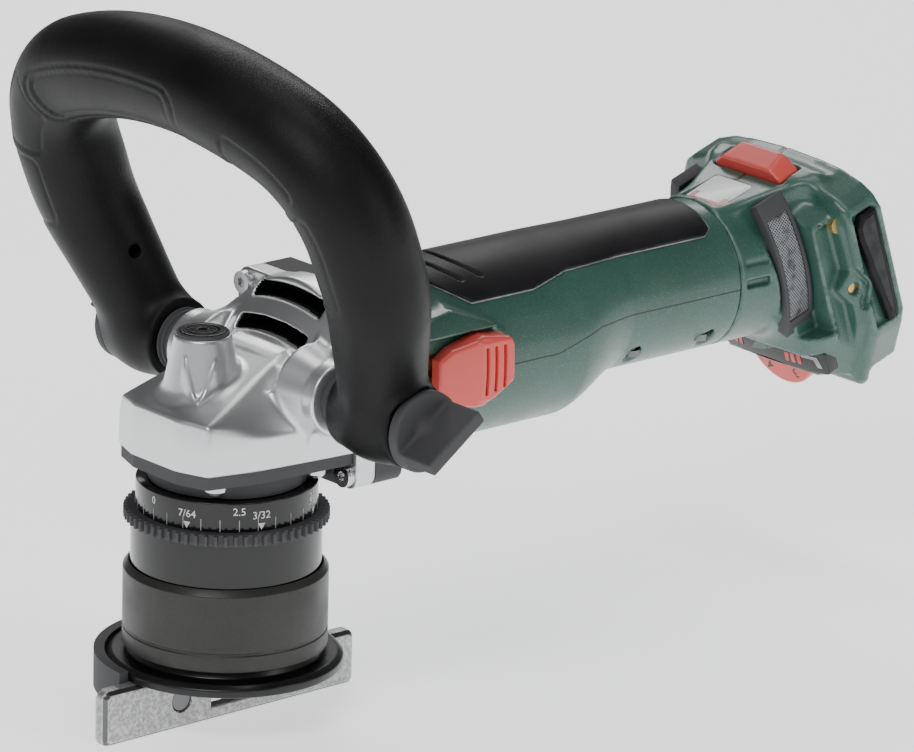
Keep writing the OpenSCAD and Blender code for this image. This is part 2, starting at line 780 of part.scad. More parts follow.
// Stations along half of the centre line, from height low on a leg to the crown: across, up, direction
function half_line(low) = concat(
    [for (y = [low, (low + leg_run) / 2]) [pivot_half + y * tan(leg_lean), y, -leg_lean]],
    [for (i = [0:4]) let (a = -leg_lean * (1 - i / 4))
        [bail_half - leg_arc * (1 - cos(a)), arc_top + leg_arc * sin(a), a]],
    [for (i = [1:3]) [bail_half, arc_top + (leg_top - arc_top) * i / 4, 0]],
    [for (i = [0:8]) let (a = (90 - crown_turn) * i / 8)
        [bail_half - corner_arc * (1 - cos(a)), leg_top + corner_arc * sin(a), a]],
    [for (i = [1:4]) let (a = 90 - crown_turn * (1 - i / 4))
        [crown_r * cos(a), bail_h - crown_r * (1 - sin(a)), a]]
);

// The tube's radius at height y: r_low at the pivot, easing out to r_high
function tube_r_at(y, r_low, r_high) =
    let (f = min(1, max(0, y / swell_h))) r_low + (r_high - r_low) * f * f * (3 - 2 * f);

module bail_tube(r_low, r_high, low) {
    sides = 28;
    half = half_line(low);
    line = concat(half, [for (i = [len(half) - 2:-1:0]) [-half[i][0], half[i][1], 180 - half[i][2]]]);
    ring_sweep([for (p = line) [for (k = [0:sides - 1])
        let (b = -360 * k / sides, r = tube_r_at(p[1], r_low, r_high))
        [p[0] + r * cos(b) * cos(p[2]), p[1] + r * cos(b) * sin(p[2]), r * sin(b)]]]);
}

module bail_handle() {
    color([0.09, 0.09, 0.1]) difference() {
        union() {
            on_bail() bail_tube(leg_r, bail_r, 0);
            for (s = [-1, 1])
                translate([pivot_x, 0, pivot_z]) rotate([-90 * s, 0, 0])
                    translate([0, 0, pivot_half - leg_r])
                        cylinder(h = leg_r + (s < 0 ? near_boss_out : far_boss_out), r = boss_r);
        }
        on_bail() bail_tube(core_r + run_gap, core_r + run_gap, core_low - run_gap);
        // Round seats that the wing levers turn in
        for (s = [-1, 1])
            translate([pivot_x, 0, pivot_z]) rotate([-90 * s, 0, 0])
                translate([0, 0, pivot_half + (s < 0 ? near_boss_out : far_boss_out)])
                    cylinder(h = 2 * leg_r, r = lever_r + 2 * part_gap);
        translate([pivot_x, 0, pivot_z])
            y_cyl(-pivot_half - 2 * leg_r, pivot_half + 2 * leg_r, bolt_r + run_gap);
    }
}

module bail_core() {
    color([0.3, 0.3, 0.3]) on_bail() bail_tube(core_r, core_r, core_low);
}

// Wing lever with its clamping bolt, on side s: y0 is its inner face, wing how far the wing stands out
module wing_lever(s, y0, wing) {
    translate([pivot_x, 0, pivot_z]) rotate([-90 * s, 0, 0]) {
        translate([0, 0, hub_in - 6]) cylinder(h = y0 - hub_in + 6 + weld, r = bolt_r);
        translate([0, 0, y0]) cylinder(h = lever_t - 1.2, r = lever_r);
        translate([0, 0, y0 + lever_t - 1.2]) cylinder(h = 1.2, r1 = lever_r, r2 = lever_r - 1.2);
        rotate([0, 0, wing_turn]) translate([-lever_r + 2, -1.6, y0 + 1]) cube([2 * lever_r - 4, 3.2, wing]);
    }
}

module near_lever() {
    color([0.1, 0.1, 0.1]) wing_lever(-1, pivot_half + near_boss_out + part_gap, near_wing);
}

module far_lever() {
    color([0.1, 0.1, 0.1]) wing_lever(1, pivot_half + far_boss_out + part_gap, far_wing);
}

// ---- Shells -------------------------------------------------------------

// The housing's round body, grown or shrunk by d
module body_form(d, x0, x1) {
    x_cyl(x0, motor_end, motor_r + d, motor_z);
    hull() {
        x_cyl(motor_end - 1, motor_end, motor_r + d, motor_z);
        x_cyl(grip_start, grip_start + 1, grip_r + d, grip_z);
    }
    x_cyl(grip_start, x1, grip_r + d, grip_z);
}

// Side outline under the seam between the two shells
seam_side = [
    [head_back - 5, motor_z - 60], [head_back - 5, motor_z], [seam_rise_x, motor_z],
    [seam_rise_x + 18, grip_z], [grip_end + 5, grip_z], [grip_end + 5, motor_z - 60]
];

hood_side = [
    [head_back + 10, motor_z + 11], [head_back + 15, motor_z + 15.5], [head_back + 21, motor_z + 19],
    [head_back + 29, motor_z + 20], [head_back + 43, motor_z + 14.6], [head_back + 46.5, motor_z + 11],
    [head_back + 36, motor_z + 13.5], [head_back + 24, motor_z + 10], [head_back + 11, motor_z + 8]
];

module shells() {
    difference() {
        union() {
            body_form(0, shell_x, grip_end);
            intersection() {
                x_cyl(head_back + 8, head_back + 50, motor_r + 5, motor_z);
                side_prism(hood_side, -motor_r - 5, -motor_r + 14);
            }
        }
        difference() {
            body_form(-shell_wall, shell_x - 4, grip_end - 5);
            x_tube(rear_bearing_x, rear_bearing_x + 4, motor_r, 9.5, motor_z);
        }
        x_cyl(grip_end - 8, grip_end + cut, swivel_r, grip_z);
        // Slot for the slide switch
        translate([switch_x - switch_len / 2 - switch_travel - 1, -motor_r - 6, switch_z - 6.2])
            cube([switch_len + switch_travel - 2, 14, 12.4]);
        // Flat land that the switch runs on
        translate([switch_x - switch_len / 2 - switch_travel - 2, -motor_r - 6, switch_z - switch_h / 2 - 1])
            cube([switch_len + switch_travel + 3, 6 + 1.6, switch_h + 2]);
        // Shell screws
        for (x = shell_screw_x)
            translate([x, -grip_r * 0.72, grip_z - grip_r - cut]) cylinder(h = grip_r - 6, r = 2.8);
    }
}

module upper_shell() {
    color([0.22, 0.38, 0.33]) difference() {
        shells();
        side_prism(seam_side, -60, 60);
        softgrip_form(0);
    }
}

module lower_shell() {
    color([0.22, 0.38, 0.33]) intersection() {
        shells();
        side_prism(seam_side, -60, 60);
    }
}

// Side outline of the rubber inlay on the upper shell
softgrip_side = [
    [head_back + 29, top_z + 3], [head_back + 33, top_z - 4], [head_back + 43, motor_z + 19.2],
    [motor_end - 18, motor_z + 19.2], [motor_end - 3, grip_z + 17.4], [grip_end - 10, grip_z + 17.4],
    [grip_end - 6.5, grip_z + 19], [grip_end - 5.5, top_z + 3]
];

module softgrip_form(d) {
    intersection() {
        difference() {
            body_form(0.9 + d, head_back + 10, grip_end - 2);
            body_form(-1.2, head_back + 9, grip_end);
        }
        side_prism(softgrip_side, -30, 30);
    }
}

module softgrip() {
    color([0.12, 0.12, 0.13]) softgrip_form(0);
}

module shell_screws() {
    color([0.6, 0.6, 0.6]) for (x = shell_screw_x)
        translate([x, -grip_r * 0.72, grip_z - grip_r + 8]) {
            cylinder(h = 2, r = 2.7);
            cylinder(h = 9, r = 1.4);
        }
}

module switch_module() {
    color([0.15, 0.15, 0.16]) difference() {
        translate([rear_bearing_x + 14, -12, motor_z - 10]) cube([24, 24, 20]);
        translate([rear_bearing_x + 13, -13, motor_z + 6]) cube([8, 26, 5]);
    }
}

module controller() {
    color([0.16, 0.3, 0.2]) {
        translate([grip_start - 4, -14, grip_z - 9]) cube([grip_len - 10, 28, 1.6]);
        for (i = [0:3])
            translate([grip_start + 2 + i * 7, -8, grip_z - 7.4 - weld]) cube([4.4, 16, 5]);
        translate([grip_start + 2, -11, grip_z - 2.8]) cube([26, 22, 6]);
    }
}

module swivel_ring() {
    color([0.2, 0.2, 0.21]) {
        x_tube(grip_end - 7.9, turn_x + 14, swivel_r, swivel_r - 3, grip_z);
        x_tube(turn_x + 10, turn_x + 12, swivel_r + 1.7, swivel_r - 2, grip_z);
    }
}

// ---- Slide switch -------------------------------------------------------

module slide_switch() {
    half = switch_len / 2;
    c = 6;
    rise = switch_h / 2;
    color([0.85, 0.2, 0.2]) difference() {
        union() {
            translate([switch_x, 0, switch_z]) side_prism([
                [-half, -rise + c], [-half + 4, -rise + 1.5], [-half + c + 6, -rise], [2, -rise],
                [half, -rise + 8], [half, rise - 4], [half - 2, rise - 1.5], [2, rise],
                [-half + 4, rise - 3], [-half, rise - c]
            ], -switch_out, -motor_r + 1.3);
            translate([switch_x - half + 1, -motor_r + 1.3 - weld, switch_z - 5.9])
                cube([switch_len - 4, motor_r - 1.3 + weld - link_face, 11.8]);
        }
        for (i = [0:2])
            translate([switch_x + 2 + i * 3.6, -switch_out - cut, switch_z - 7]) cube([0.9, 1.1 + cut, 13.4]);
    }
}

module switch_link() {
    color([0.2, 0.2, 0.21])
        translate([switch_x + 4, -link_face, switch_z - 1.5]) cube([22, link_t, 3]);
}

// ---- Battery foot -------------------------------------------------------

// Carries a frame whose X is square to the battery face and whose Z runs up it
module on_foot() {
    translate([face_x, 0, grip_z]) rotate([0, -foot_slope, 0]) children();
}

foot_outline = mirror_points([
    [foot_top, 0], [foot_top - 0.6, foot_w / 2 - 25], [foot_top - 1.9, foot_w / 2 - 15],
    [foot_top - 4.8, foot_w / 2 - 6.5], [foot_top - 7.6, foot_w / 2 - 2.5], [foot_top - 12, foot_w / 2],
    [26 - foot_low, foot_w / 2],
    [21 - foot_low, foot_w / 2 - 2], [2 - foot_low, foot_w / 2 - 12], [-foot_low, foot_w / 2 - 14]
]);

// The foot's shield outline, from depth d0 to d1 in front of the battery face, as up by across
module foot_slab(d0, d1) {
    translate([-d1, 0, 0]) rotate([0, -90, 0]) mirror([0, 0, 1]) linear_extrude(d1 - d0) polygon(foot_outline);
}

module foot_mass() {
    on_foot() foot_slab(0, foot_d);
    hull() {
        on_foot() translate([-foot_d - 1, 0, 0]) rotate([0, -90, 0]) mirror([0, 0, 1]) linear_extrude(2)
            polygon([for (p = foot_outline) [p[0] * 0.93, p[1] * 0.84]]);
        x_cyl(foot_neck_end - 2, foot_neck_end, grip_r, grip_z);
    }
    x_cyl(turn_x, foot_neck_end, grip_r, grip_z);
    // Saddle that carries the label, from the neck up to the foot's crown
    hull() {
        translate([turn_x + 1, -9.8, grip_z]) cube([1, 19.6, grip_r]);
        on_foot() translate([-foot_d - 1, -22, 20]) cube([2, 44, foot_top - 22.6]);
    }
}

module foot_shell() {
    difference() {
        foot_mass();
        // Bearing for the turning joint
        x_cyl(turn_x - cut, foot_neck_end, neck_bore_r, grip_z);
        x_cyl(turn_x + 9.7, turn_x + 12.3, neck_bore_r + 2, grip_z);
        // Wiring and switch space
        x_cyl(foot_neck_end - 1, face_x - foot_d - 8, 16, grip_z);
        on_foot() {
            // Pocket that the battery slides into, open at the bottom and the rear
            translate([-pocket_d, -pocket_w / 2, -foot_low - cut])
                cube([pocket_d + cut, pocket_w, foot_l - 12 + cut]);
            // Side panels
            for (s = [-1, 1])
                translate([-foot_d - 9, s * (foot_w / 2 + 3.5) - 5, -12]) cube([8, 10, 34]);
            for (s = [-1, 1])
                translate([-12.2, s * (foot_w / 2 - 1) - 2.2, -14]) cube([9.6, 4.4, 40]);
            // Screw wells
            for (p = foot_screw_points)
                translate([p[0], 0, p[1]]) y_cyl(-foot_w / 2 - cut, foot_w / 2 + cut, 1.6);
            for (p = foot_screw_points)
                translate([p[0], 0, p[1]]) y_cyl(-foot_w / 2 - cut, -foot_w / 2 + 8, 2.9);
            // Release button well
            translate([release_x - 0.3, -release_half - 0.3, release_z - 0.3]) cube([9.2, 2 * release_half + 0.6, 14]);
            translate([release_x + 2, -9.3, release_z - 4.5]) cube([5, 18.6, 5]);
            // Seat of the indicator strip
            translate([strip_x - part_gap, -strip_half - part_gap, strip_z - part_gap])
                cube([strip_t + 2 * part_gap, 2 * (strip_half + part_gap), strip_h + 2 * part_gap]);
            // Dial window
            translate([dial_x - 2.4, 0, dial_z]) rotate([0, 90, 0]) cylinder(h = 4.8, r = dial_r + 0.8);
            // Seats of the dust filters
            for (s = [-1, 1])
                difference() {
                    translate([filter_d0 - part_gap, s * 33 - 30, filter_low - part_gap])
                        cube([filter_w + 2 * part_gap, 60, filter_len + 2 * part_gap]);
                    filter_drum(s, filter_r - filter_t - part_gap, -1);
                }
        }
        translate([label_x, 0, label_z]) rotate([0, -label_lean, 0]) translate([-8.2, -8.7, -0.6])
            cube([16.4, 17.4, 8]);
        // Air slots in the neck
        for (z = [-0.4, 6.4], s = [-1, 1])
            translate([turn_x + 2.4, s * grip_r - 5, grip_z + z]) cube([12.5, 10, 4.6]);
    }
}

// The filters' curved face, as a solid of radius r round an axis square to the battery face, on side s
module filter_drum(s, r, over) {
    translate([filter_d0 + over, s * (filter_y - filter_r), filter_low + filter_len / 2])
        rotate([0, 90, 0]) cylinder(h = filter_w - 2 * over, r = r);
}

module left_foot_shell() {
    color([0.22, 0.38, 0.33]) intersection() {
        foot_shell();
        translate([turn_x - 1, 0, 0]) cube([200, 100, 200]);
    }
}

module right_foot_shell() {
    color([0.22, 0.38, 0.33]) intersection() {
        foot_shell();
        translate([turn_x - 1, -100, 0]) cube([200, 100, 200]);
    }
}

module foot_screws() {
    color([0.7, 0.55, 0.25]) on_foot() for (p = foot_screw_points)
        translate([p[0], 0, p[1]]) {
            y_cyl(-foot_w / 2 + 6, -foot_w / 2 + 8, 2.8);
            y_cyl(-foot_w / 2 + 8 - weld, foot_w / 2 - 8, 1.5);
        }
}

module battery_rails() {
    color([0.12, 0.12, 0.13]) on_foot() for (s = [-1, 1])
        translate([-5, s * (pocket_w / 2 - rail_t / 2) - rail_t / 2, -foot_low + 12])
            cube([4, rail_t, foot_l - 28]);
}

module terminal_block() {
    color([0.1, 0.1, 0.1]) on_foot() difference() {
        translate([-pocket_d, -16, 2]) cube([pocket_d - 3, 32, 20]);
        for (y = [-12, -4, 4, 12])
            translate([-pocket_d + 2, y - blade_t / 2, 1]) cube([pocket_d, blade_t, 15]);
    }
}

module terminal_blades() {
    color([0.8, 0.62, 0.3]) on_foot() for (y = [-12, -4, 4, 12])
        translate([-pocket_d + 2, y - blade_t / 2, -8]) cube([6, blade_t, 24]);
}

module side_bumpers() {
    color([0.1, 0.1, 0.1]) on_foot() for (s = [-1, 1])
        translate([-12, s * (foot_w / 2 - 1.1) - 2.1, -13.8]) cube([9.2, 4.2, 39.6]);
}

module label_plate() {
    color([0.8, 0.8, 0.82]) translate([label_x, 0, label_z]) rotate([0, -label_lean, 0])
        translate([-8, -8.5, -0.6]) cube([16, 17, 0.8]);
}

module indicator_strip() {
    color([0.1, 0.1, 0.1]) on_foot()
        translate([strip_x, -strip_half, strip_z]) cube([strip_t, 2 * strip_half, strip_h]);
}

module release_button() {
    color([0.85, 0.2, 0.2]) on_foot() {
        translate([release_x, -release_half, release_z + 2.4]) cube([8.6, 2 * release_half, 6]);
        translate([release_x + 2.3, -9, release_z - 0.8]) cube([4.4, 18, 3.2 + weld]);
    }
}

module release_spring() {
    color([0.6, 0.6, 0.62]) on_foot() translate([release_x + 4.5, 0, release_z - 4.1]) helix(1.7, 0.3, 2.9, 3);
}

module speed_dial() {
    color([0.85, 0.2, 0.2]) on_foot() translate([dial_x - 2, 0, dial_z]) rotate([0, 90, 0])
        cylinder(h = 4, r = dial_r);
}

// ---- Dust filters -------------------------------------------------------

// A curved band of the filter between two radii, on side s, cropped to the given frame margins
module filter_band(s, r_in, r_out, side, end) {
    intersection() {
        difference() {
            filter_drum(s, r_out, side);
            filter_drum(s, r_in, -1);
        }
        translate([filter_d0, s * 33 - 30, filter_low + end]) cube([filter_w, 60, filter_len - 2 * end]);
    }
}

module filter_frame(s) {
    on_foot() difference() {
        filter_band(s, filter_r - filter_t, filter_r, 0, 0);
        filter_band(s, filter_r - 1.6, filter_r + 1, 1.3, 5);
    }
}

module filter_mesh(s) {
    on_foot() filter_band(s, filter_r - 1.6, filter_r - 0.8, 1.4, 5.1);
}

module near_filter_frame() {
    color([0.08, 0.08, 0.08]) filter_frame(-1);
}

module near_filter_mesh() {
    color([0.55, 0.55, 0.56]) filter_mesh(-1);
}

module far_filter_frame() {
    color([0.08, 0.08, 0.08]) filter_frame(1);
}

module far_filter_mesh() {
    color([0.55, 0.55, 0.56]) filter_mesh(1);
}

gear_housing();
bearing_plate();
plate_screws();
flange_screws();
spindle_bearing();
top_bush();
guide_tube();
air_ring();
near_hub();
far_hub();
motor_bearings();
stator();
upper_shell();
lower_shell();
softgrip();
shell_screws();
switch_module();
controller();
swivel_ring();
spindle();
bevel_gear();
cutter_head();
cutter_inserts();
insert_screws();
rotor();
motor_shaft();
cooling_fan();
bevel_pinion();
lock_button();
lock_spring();
scale_drum();
knurled_ring();
ring_sleeve();
guide_sleeve();
guide_plate();
fence_carrier();
fence_rail();
fence_screws();
bail_handle();
bail_core();
near_lever();
far_lever();
slide_switch();
switch_link();
left_foot_shell();
right_foot_shell();
foot_screws();
battery_rails();
terminal_block();
terminal_blades();
side_bumpers();
label_plate();
indicator_strip();
release_button();
release_spring();
speed_dial();
near_filter_frame();
near_filter_mesh();
far_filter_frame();
far_filter_mesh();
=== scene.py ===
"""Finished model of a cordless edge milling machine: bail handle, gear head, guide, grip and battery foot."""
import logging
import math
from dataclasses import dataclass, field
from enum import Enum
from typing import Callable, Optional, Sequence

import bmesh
import bpy
import numpy as np
from mathutils import Matrix, Vector


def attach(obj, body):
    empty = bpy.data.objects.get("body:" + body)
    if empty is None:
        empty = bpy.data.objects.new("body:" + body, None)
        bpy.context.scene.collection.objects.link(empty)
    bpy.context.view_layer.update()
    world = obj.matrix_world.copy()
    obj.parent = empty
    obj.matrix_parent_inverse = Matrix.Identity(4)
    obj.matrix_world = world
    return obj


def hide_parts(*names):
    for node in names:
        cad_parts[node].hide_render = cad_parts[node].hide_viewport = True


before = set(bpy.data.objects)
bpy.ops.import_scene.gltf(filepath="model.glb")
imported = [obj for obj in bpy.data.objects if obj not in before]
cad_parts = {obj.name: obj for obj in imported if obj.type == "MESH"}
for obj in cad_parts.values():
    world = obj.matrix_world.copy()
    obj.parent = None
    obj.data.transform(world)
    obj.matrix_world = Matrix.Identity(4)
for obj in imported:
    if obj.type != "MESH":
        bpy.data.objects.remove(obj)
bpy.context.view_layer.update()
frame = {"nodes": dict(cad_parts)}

LOG = logging.getLogger("edge_mill")
MM = 0.001
Array = np.ndarray
Field = Callable[[Array, Array, Array], Array]
Point = tuple[float, float, float]
Colour = tuple[float, float, float]


class Side(Enum):
    """The two sides of the machine: near carries the slide switch."""

    NEAR = -1
    FAR = 1


# ---- Distance fields -----------------------------------------------------


def soft_min(a: Array, b: Array, k: float) -> Array:
    """Joins two solids with a fillet.

    Args:
        a: Distance to the first solid.
        b: Distance to the second solid.
        k: Size of the fillet, in millimetres.

    Returns:
        The joined distance.
    """
    h = np.clip(0.5 + 0.5 * (b - a) / k, 0.0, 1.0)
    return b + (a - b) * h - k * h * (1.0 - h)


def soft_max(a: Array, b: Array, k: float) -> Array:
    """Keeps what two solids share, with a rounded edge.

    Args:
        a: Distance to the first solid.
        b: Distance to the second solid.
        k: Size of the rounding, in millimetres.

    Returns:
        The shared distance.
    """
    return -soft_min(-a, -b, k)


def carve(a: Array, b: Array, k: float) -> Array:
    """Cuts solid b out of solid a, with an edge rounded by k (Args and Returns as in soft_max)."""
    return soft_max(a, -b, k)


def box_field(x: Array, y: Array, z: Array, low: Point, high: Point, r: float = 0.0) -> Array:
    """Distance to a rounded box.

    Args:
        x: X coordinates.
        y: Y coordinates.
        z: Z coordinates.
        low: Lowest corner.
        high: Highest corner.
        r: Edge radius.

    Returns:
        The distance, negative inside.
    """
    q = [np.abs(v - (l + h) / 2) - (h - l) / 2 + r for v, l, h in zip((x, y, z), low, high)]
    out = np.sqrt(sum(np.maximum(v, 0.0) ** 2 for v in q))
    return out + np.minimum(np.maximum(np.maximum(q[0], q[1]), q[2]), 0.0) - r


def drum_field(a: Array, b: Array, h: Array, r: float, low: float, high: float, edge: float = 0.0) -> Array:
    """Distance to a round drum.

    Args:
        a: First coordinate across the axis, from the axis.
        b: Second coordinate across the axis, from the axis.
        h: Coordinate along the axis.
        r: Radius.
        low: Lower end.
        high: Upper end.
        edge: Edge radius.

    Returns:
        The distance, negative inside.
    """
    p = np.sqrt(a * a + b * b) - r + edge
    q = np.abs(h - (low + high) / 2) - (high - low) / 2 + edge
    return np.sqrt(np.maximum(p, 0) ** 2 + np.maximum(q, 0) ** 2) + np.minimum(np.maximum(p, q), 0) - edge


def outline_field(u: Array, v: Array, points: Sequence[tuple[float, float]]) -> Array:
    """Signed distance to a closed outline in a plane.

    Args:
        u: First plane coordinate.
        v: Second plane coordinate.
        points: The outline's corners, in order.

    Returns:
        The distance, negative inside.
    """
    best = np.full(np.broadcast(u, v).shape, 1e9)
    sign = np.ones_like(best)
    for (ax, ay), (bx, by) in zip(points, list(points[1:]) + [points[0]]):
        ex, ey = bx - ax, by - ay
        wx, wy = u - ax, v - ay
        t = np.clip((wx * ex + wy * ey) / (ex * ex + ey * ey), 0, 1)
        best = np.minimum(best, (wx - ex * t) ** 2 + (wy - ey * t) ** 2)
        above, below, left = v >= ay, v < by, ex * wy > ey * wx
        flip = (above & below & left) | (~above & ~below & ~left)
        sign = np.where(flip, -sign, sign)
    return sign * np.sqrt(best)


def slab_field(d: Array, h: Array, low: float, high: float, k: float) -> Array:
    """An outline's distance d run between two heights, with edges rounded by k.

    Args:
        d: Distance to the outline.
        h: Coordinate along the run.
        low: Start of the run.
        high: End of the run.
        k: Size of the rounding.

    Returns:
        The distance, negative inside.
    """
    return soft_max(soft_max(d, h - high, k), low - h, k)


# ---- Meshes --------------------------------------------------------------


def make_mesh(name: str, verts: Array, faces: Array, smooth: bool = True) -> bpy.types.Object:
    """Makes a mesh object from numpy data.

    Args:
        name: Object name.
        verts: Vertex places in metres, n by 3.
        faces: Four vertex numbers a face, m by 4.
        smooth: Whether the faces are shaded smooth.

    Returns:
        The new object, linked to the scene.
    """
    mesh = bpy.data.meshes.new(name)
    n, m = len(verts), len(faces)
    mesh.vertices.add(n)
    mesh.vertices.foreach_set("co", np.asarray(verts, np.float32).ravel())
    mesh.loops.add(4 * m)
    mesh.loops.foreach_set("vertex_index", np.asarray(faces, np.int32).ravel())
    mesh.polygons.add(m)
    mesh.polygons.foreach_set("loop_start", np.arange(m, dtype=np.int32) * 4)
    mesh.polygons.foreach_set("use_smooth", np.full(m, smooth))
    mesh.update(calc_edges=True)
    mesh.validate()
    obj = bpy.data.objects.new(name, mesh)
    bpy.context.scene.collection.objects.link(obj)
    return obj


@dataclass
class Sculptor:
    """Turns a distance field in millimetres into a closed skin.

    Args:
        step: Spacing of the sample grid.
    """

    step: float = 0.8

    def skin(
        self,
        name: str,
        shape: Field,
        low: Point,
        high: Point,
        place: Optional[Callable[[Array], Array]] = None,
        relief: Optional[Callable[[Array, Array], Array]] = None,
    ) -> bpy.types.Object:
        """Samples a field and builds its skin.

        Args:
            name: Object name.
            shape: The distance field.
            low: Lowest corner of the sampled box.
            high: Highest corner of the sampled box.
            place: Moves local points to the row frame, if the field is drawn in its own frame.
            relief: Height to raise the skin by, from points and their outward directions.

        Returns:
            The new object.
        """
        axes = [np.arange(l, h + self.step, self.step) for l, h in zip(low, high)]
        values = np.array(np.broadcast_to(
            shape(axes[0][:, None, None], axes[1][None, :, None], axes[2][None, None, :]),
            tuple(len(a) for a in axes)), np.float32)
        points, quads = self._nets(values, np.array(low))
        for _ in range(2):
            points, normal = self._settle(points, shape)
        if relief is not None:
            points = points + normal * relief(points, normal)[:, None]
        if place is not None:
            points = place(points)
        return make_mesh(name, points * MM, quads)

    def _nets(self, values: Array, low: Array) -> tuple[Array, Array]:
        """Places one point in each cell that the surface crosses, and joins them.

        Args:
            values: Sampled field.
            low: Lowest corner of the sampled box.

        Returns:
            The points and the faces.
        """
        inside = values < 0
        cut = [slice(None, -1), slice(1, None)]
        corners = [(i, j, k) for i in (0, 1) for j in (0, 1) for k in (0, 1)]
        count = sum(inside[cut[i], cut[j], cut[k]].astype(np.int8) for i, j, k in corners)
        cells = np.argwhere((count > 0) & (count < 8))
        number = np.full(count.shape, -1, np.int32)
        number[tuple(cells.T)] = np.arange(len(cells))
        total = np.zeros((len(cells), 3))
        hits = np.zeros(len(cells))
        for a in corners:
            for ax in range(3):
                if a[ax]:
                    continue
                b = tuple(1 if q == ax else a[q] for q in range(3))
                fa = values[tuple((cells + a).T)]
                fb = values[tuple((cells + b).T)]
                cross = (fa < 0) != (fb < 0)
                t = np.where(cross, fa / np.where(fa == fb, 1, fa - fb), 0)
                p = np.array(a, float)[None, :] + t[:, None] * (np.array(b) - np.array(a))[None, :]
                total += p * cross[:, None]
                hits += cross
        points = low + (cells + total / hits[:, None]) * self.step
        faces = []
        for turn in ((0, 1, 2), (1, 2, 0), (2, 0, 1)):
            s, n = inside.transpose(turn), number.transpose(turn)
            edge = np.argwhere(s[:-1, 1:-1, 1:-1] != s[1:, 1:-1, 1:-1])
            i, j, k = edge[:, 0], edge[:, 1] + 1, edge[:, 2] + 1
            quad = np.stack([n[i, j - 1, k - 1], n[i, j, k - 1], n[i, j, k], n[i, j - 1, k]], 1)
            faces.append(np.where(s[i, j, k][:, None], quad, quad[:, ::-1]))
        return points, np.concatenate(faces)

    def _settle(self, p: Array, shape: Field) -> tuple[Array, Array]:
        """Moves points onto the surface along the field's slope.

        Args:
            p: Points near the surface.
            shape: The distance field.

        Returns:
            The moved points and their outward directions.
        """
        e = 0.05
        f = shape(p[:, 0], p[:, 1], p[:, 2])
        g = np.stack([
            shape(p[:, 0] + e * (i == 0), p[:, 1] + e * (i == 1), p[:, 2] + e * (i == 2))
            - shape(p[:, 0] - e * (i == 0), p[:, 1] - e * (i == 1), p[:, 2] - e * (i == 2))
            for i in range(3)], 1) / (2 * e)
        size = np.maximum(np.linalg.norm(g, axis=1), 0.3)
        normal = g / size[:, None]
        move = np.clip(f / size, -self.step * 0.6, self.step * 0.6)
        return p - normal * move[:, None], normal


@dataclass
class Lathe:
    """Turns a profile round an axis.

    Args:
        centre: A point on the axis, in millimetres.
        axis: Direction of the axis.
        segments: Faces round the axis.
    """

    centre: Point = (0.0, 0.0, 0.0)
    axis: Point = (0.0, 0.0, 1.0)
    segments: int = 160

    def turn(self, name: str, profile: Sequence[tuple[float, float]],
             closed: bool = True) -> bpy.types.Object:
        """Builds the turned solid.

        Args:
            name: Object name.
            profile: Radius and height pairs, anticlockwise seen with the axis on the left.
            closed: Whether the last pair joins the first.

        Returns:
            The new object.
        """
        bm = bmesh.new()
        spin = Vector((0, 0, 1)).rotation_difference(Vector(self.axis)).to_matrix().to_4x4()
        place = Matrix.Translation(Vector(self.centre)) @ spin
        rings = []
        for r, h in profile:
            if r < 1e-6:
                rings.append([bm.verts.new(place @ Vector((0, 0, h)) * MM)])
                continue
            rings.append([
                bm.verts.new(place @ Vector((r * math.cos(t), r * math.sin(t), h)) * MM)
                for t in (2 * math.pi * i / self.segments for i in range(self.segments))])
        pairs = list(zip(rings, rings[1:])) + ([(rings[-1], rings[0])] if closed else [])
        for a, b in pairs:
            for i in range(self.segments):
                j = (i + 1) % self.segments
                if len(a) == 1 and len(b) == 1:
                    continue
                if len(a) == 1:
                    bm.faces.new((a[0], b[j], b[i]))
                elif len(b) == 1:
                    bm.faces.new((a[i], a[j], b[0]))
                else:
                    bm.faces.new((a[i], a[j], b[j], b[i]))
        return finish_bmesh(name, bm)


def finish_bmesh(name: str, bm: bmesh.types.BMesh, angle: float = 32.0) -> bpy.types.Object:
    """Makes an object from a bmesh, facing outwards and shaded smooth by angle.

    Args:
        name: Object name.
        bm: The mesh, which is freed.
        angle: Edges sharper than this, in degrees, stay sharp.

    Returns:
        The new object.
    """
    bmesh.ops.remove_doubles(bm, verts=bm.verts, dist=1e-7)
    bmesh.ops.recalc_face_normals(bm, faces=bm.faces)
    for f in bm.faces:
        f.smooth = True
    for e in bm.edges:
        e.smooth = len(e.link_faces) != 2 or e.calc_face_angle(0.0) < math.radians(angle)
    mesh = bpy.data.meshes.new(name)
    bm.to_mesh(mesh)
    bm.free()
    obj = bpy.data.objects.new(name, mesh)
    bpy.context.scene.collection.objects.link(obj)
    return obj


def rounded_profile(points: Sequence[tuple[float, float]], r: float,
                    steps: int = 4) -> list[tuple[float, float]]:
    """Rounds every corner of a closed profile.

    Args:
        points: The corners.
        r: Corner radius, shortened where an edge is too short for it.
        steps: Points in each corner.

    Returns:
        The rounded profile.
    """
    out: list[tuple[float, float]] = []
    n = len(points)
    for i in range(n):
        a, b, c = (Vector(points[(i + k) % n]) for k in (-1, 0, 1))
        if b.x < 1e-6:
            out.append((b.x, b.y))
            continue
        d = min(r, (a - b).length * 0.45, (c - b).length * 0.45)
        p, q = b + (a - b).normalized() * d, b + (c - b).normalized() * d
        for k in range(steps + 1):
            t = k / steps
            v = p * (1 - t) ** 2 + b * 2 * t * (1 - t) + q * t ** 2
            out.append((v.x, v.y))
    return out


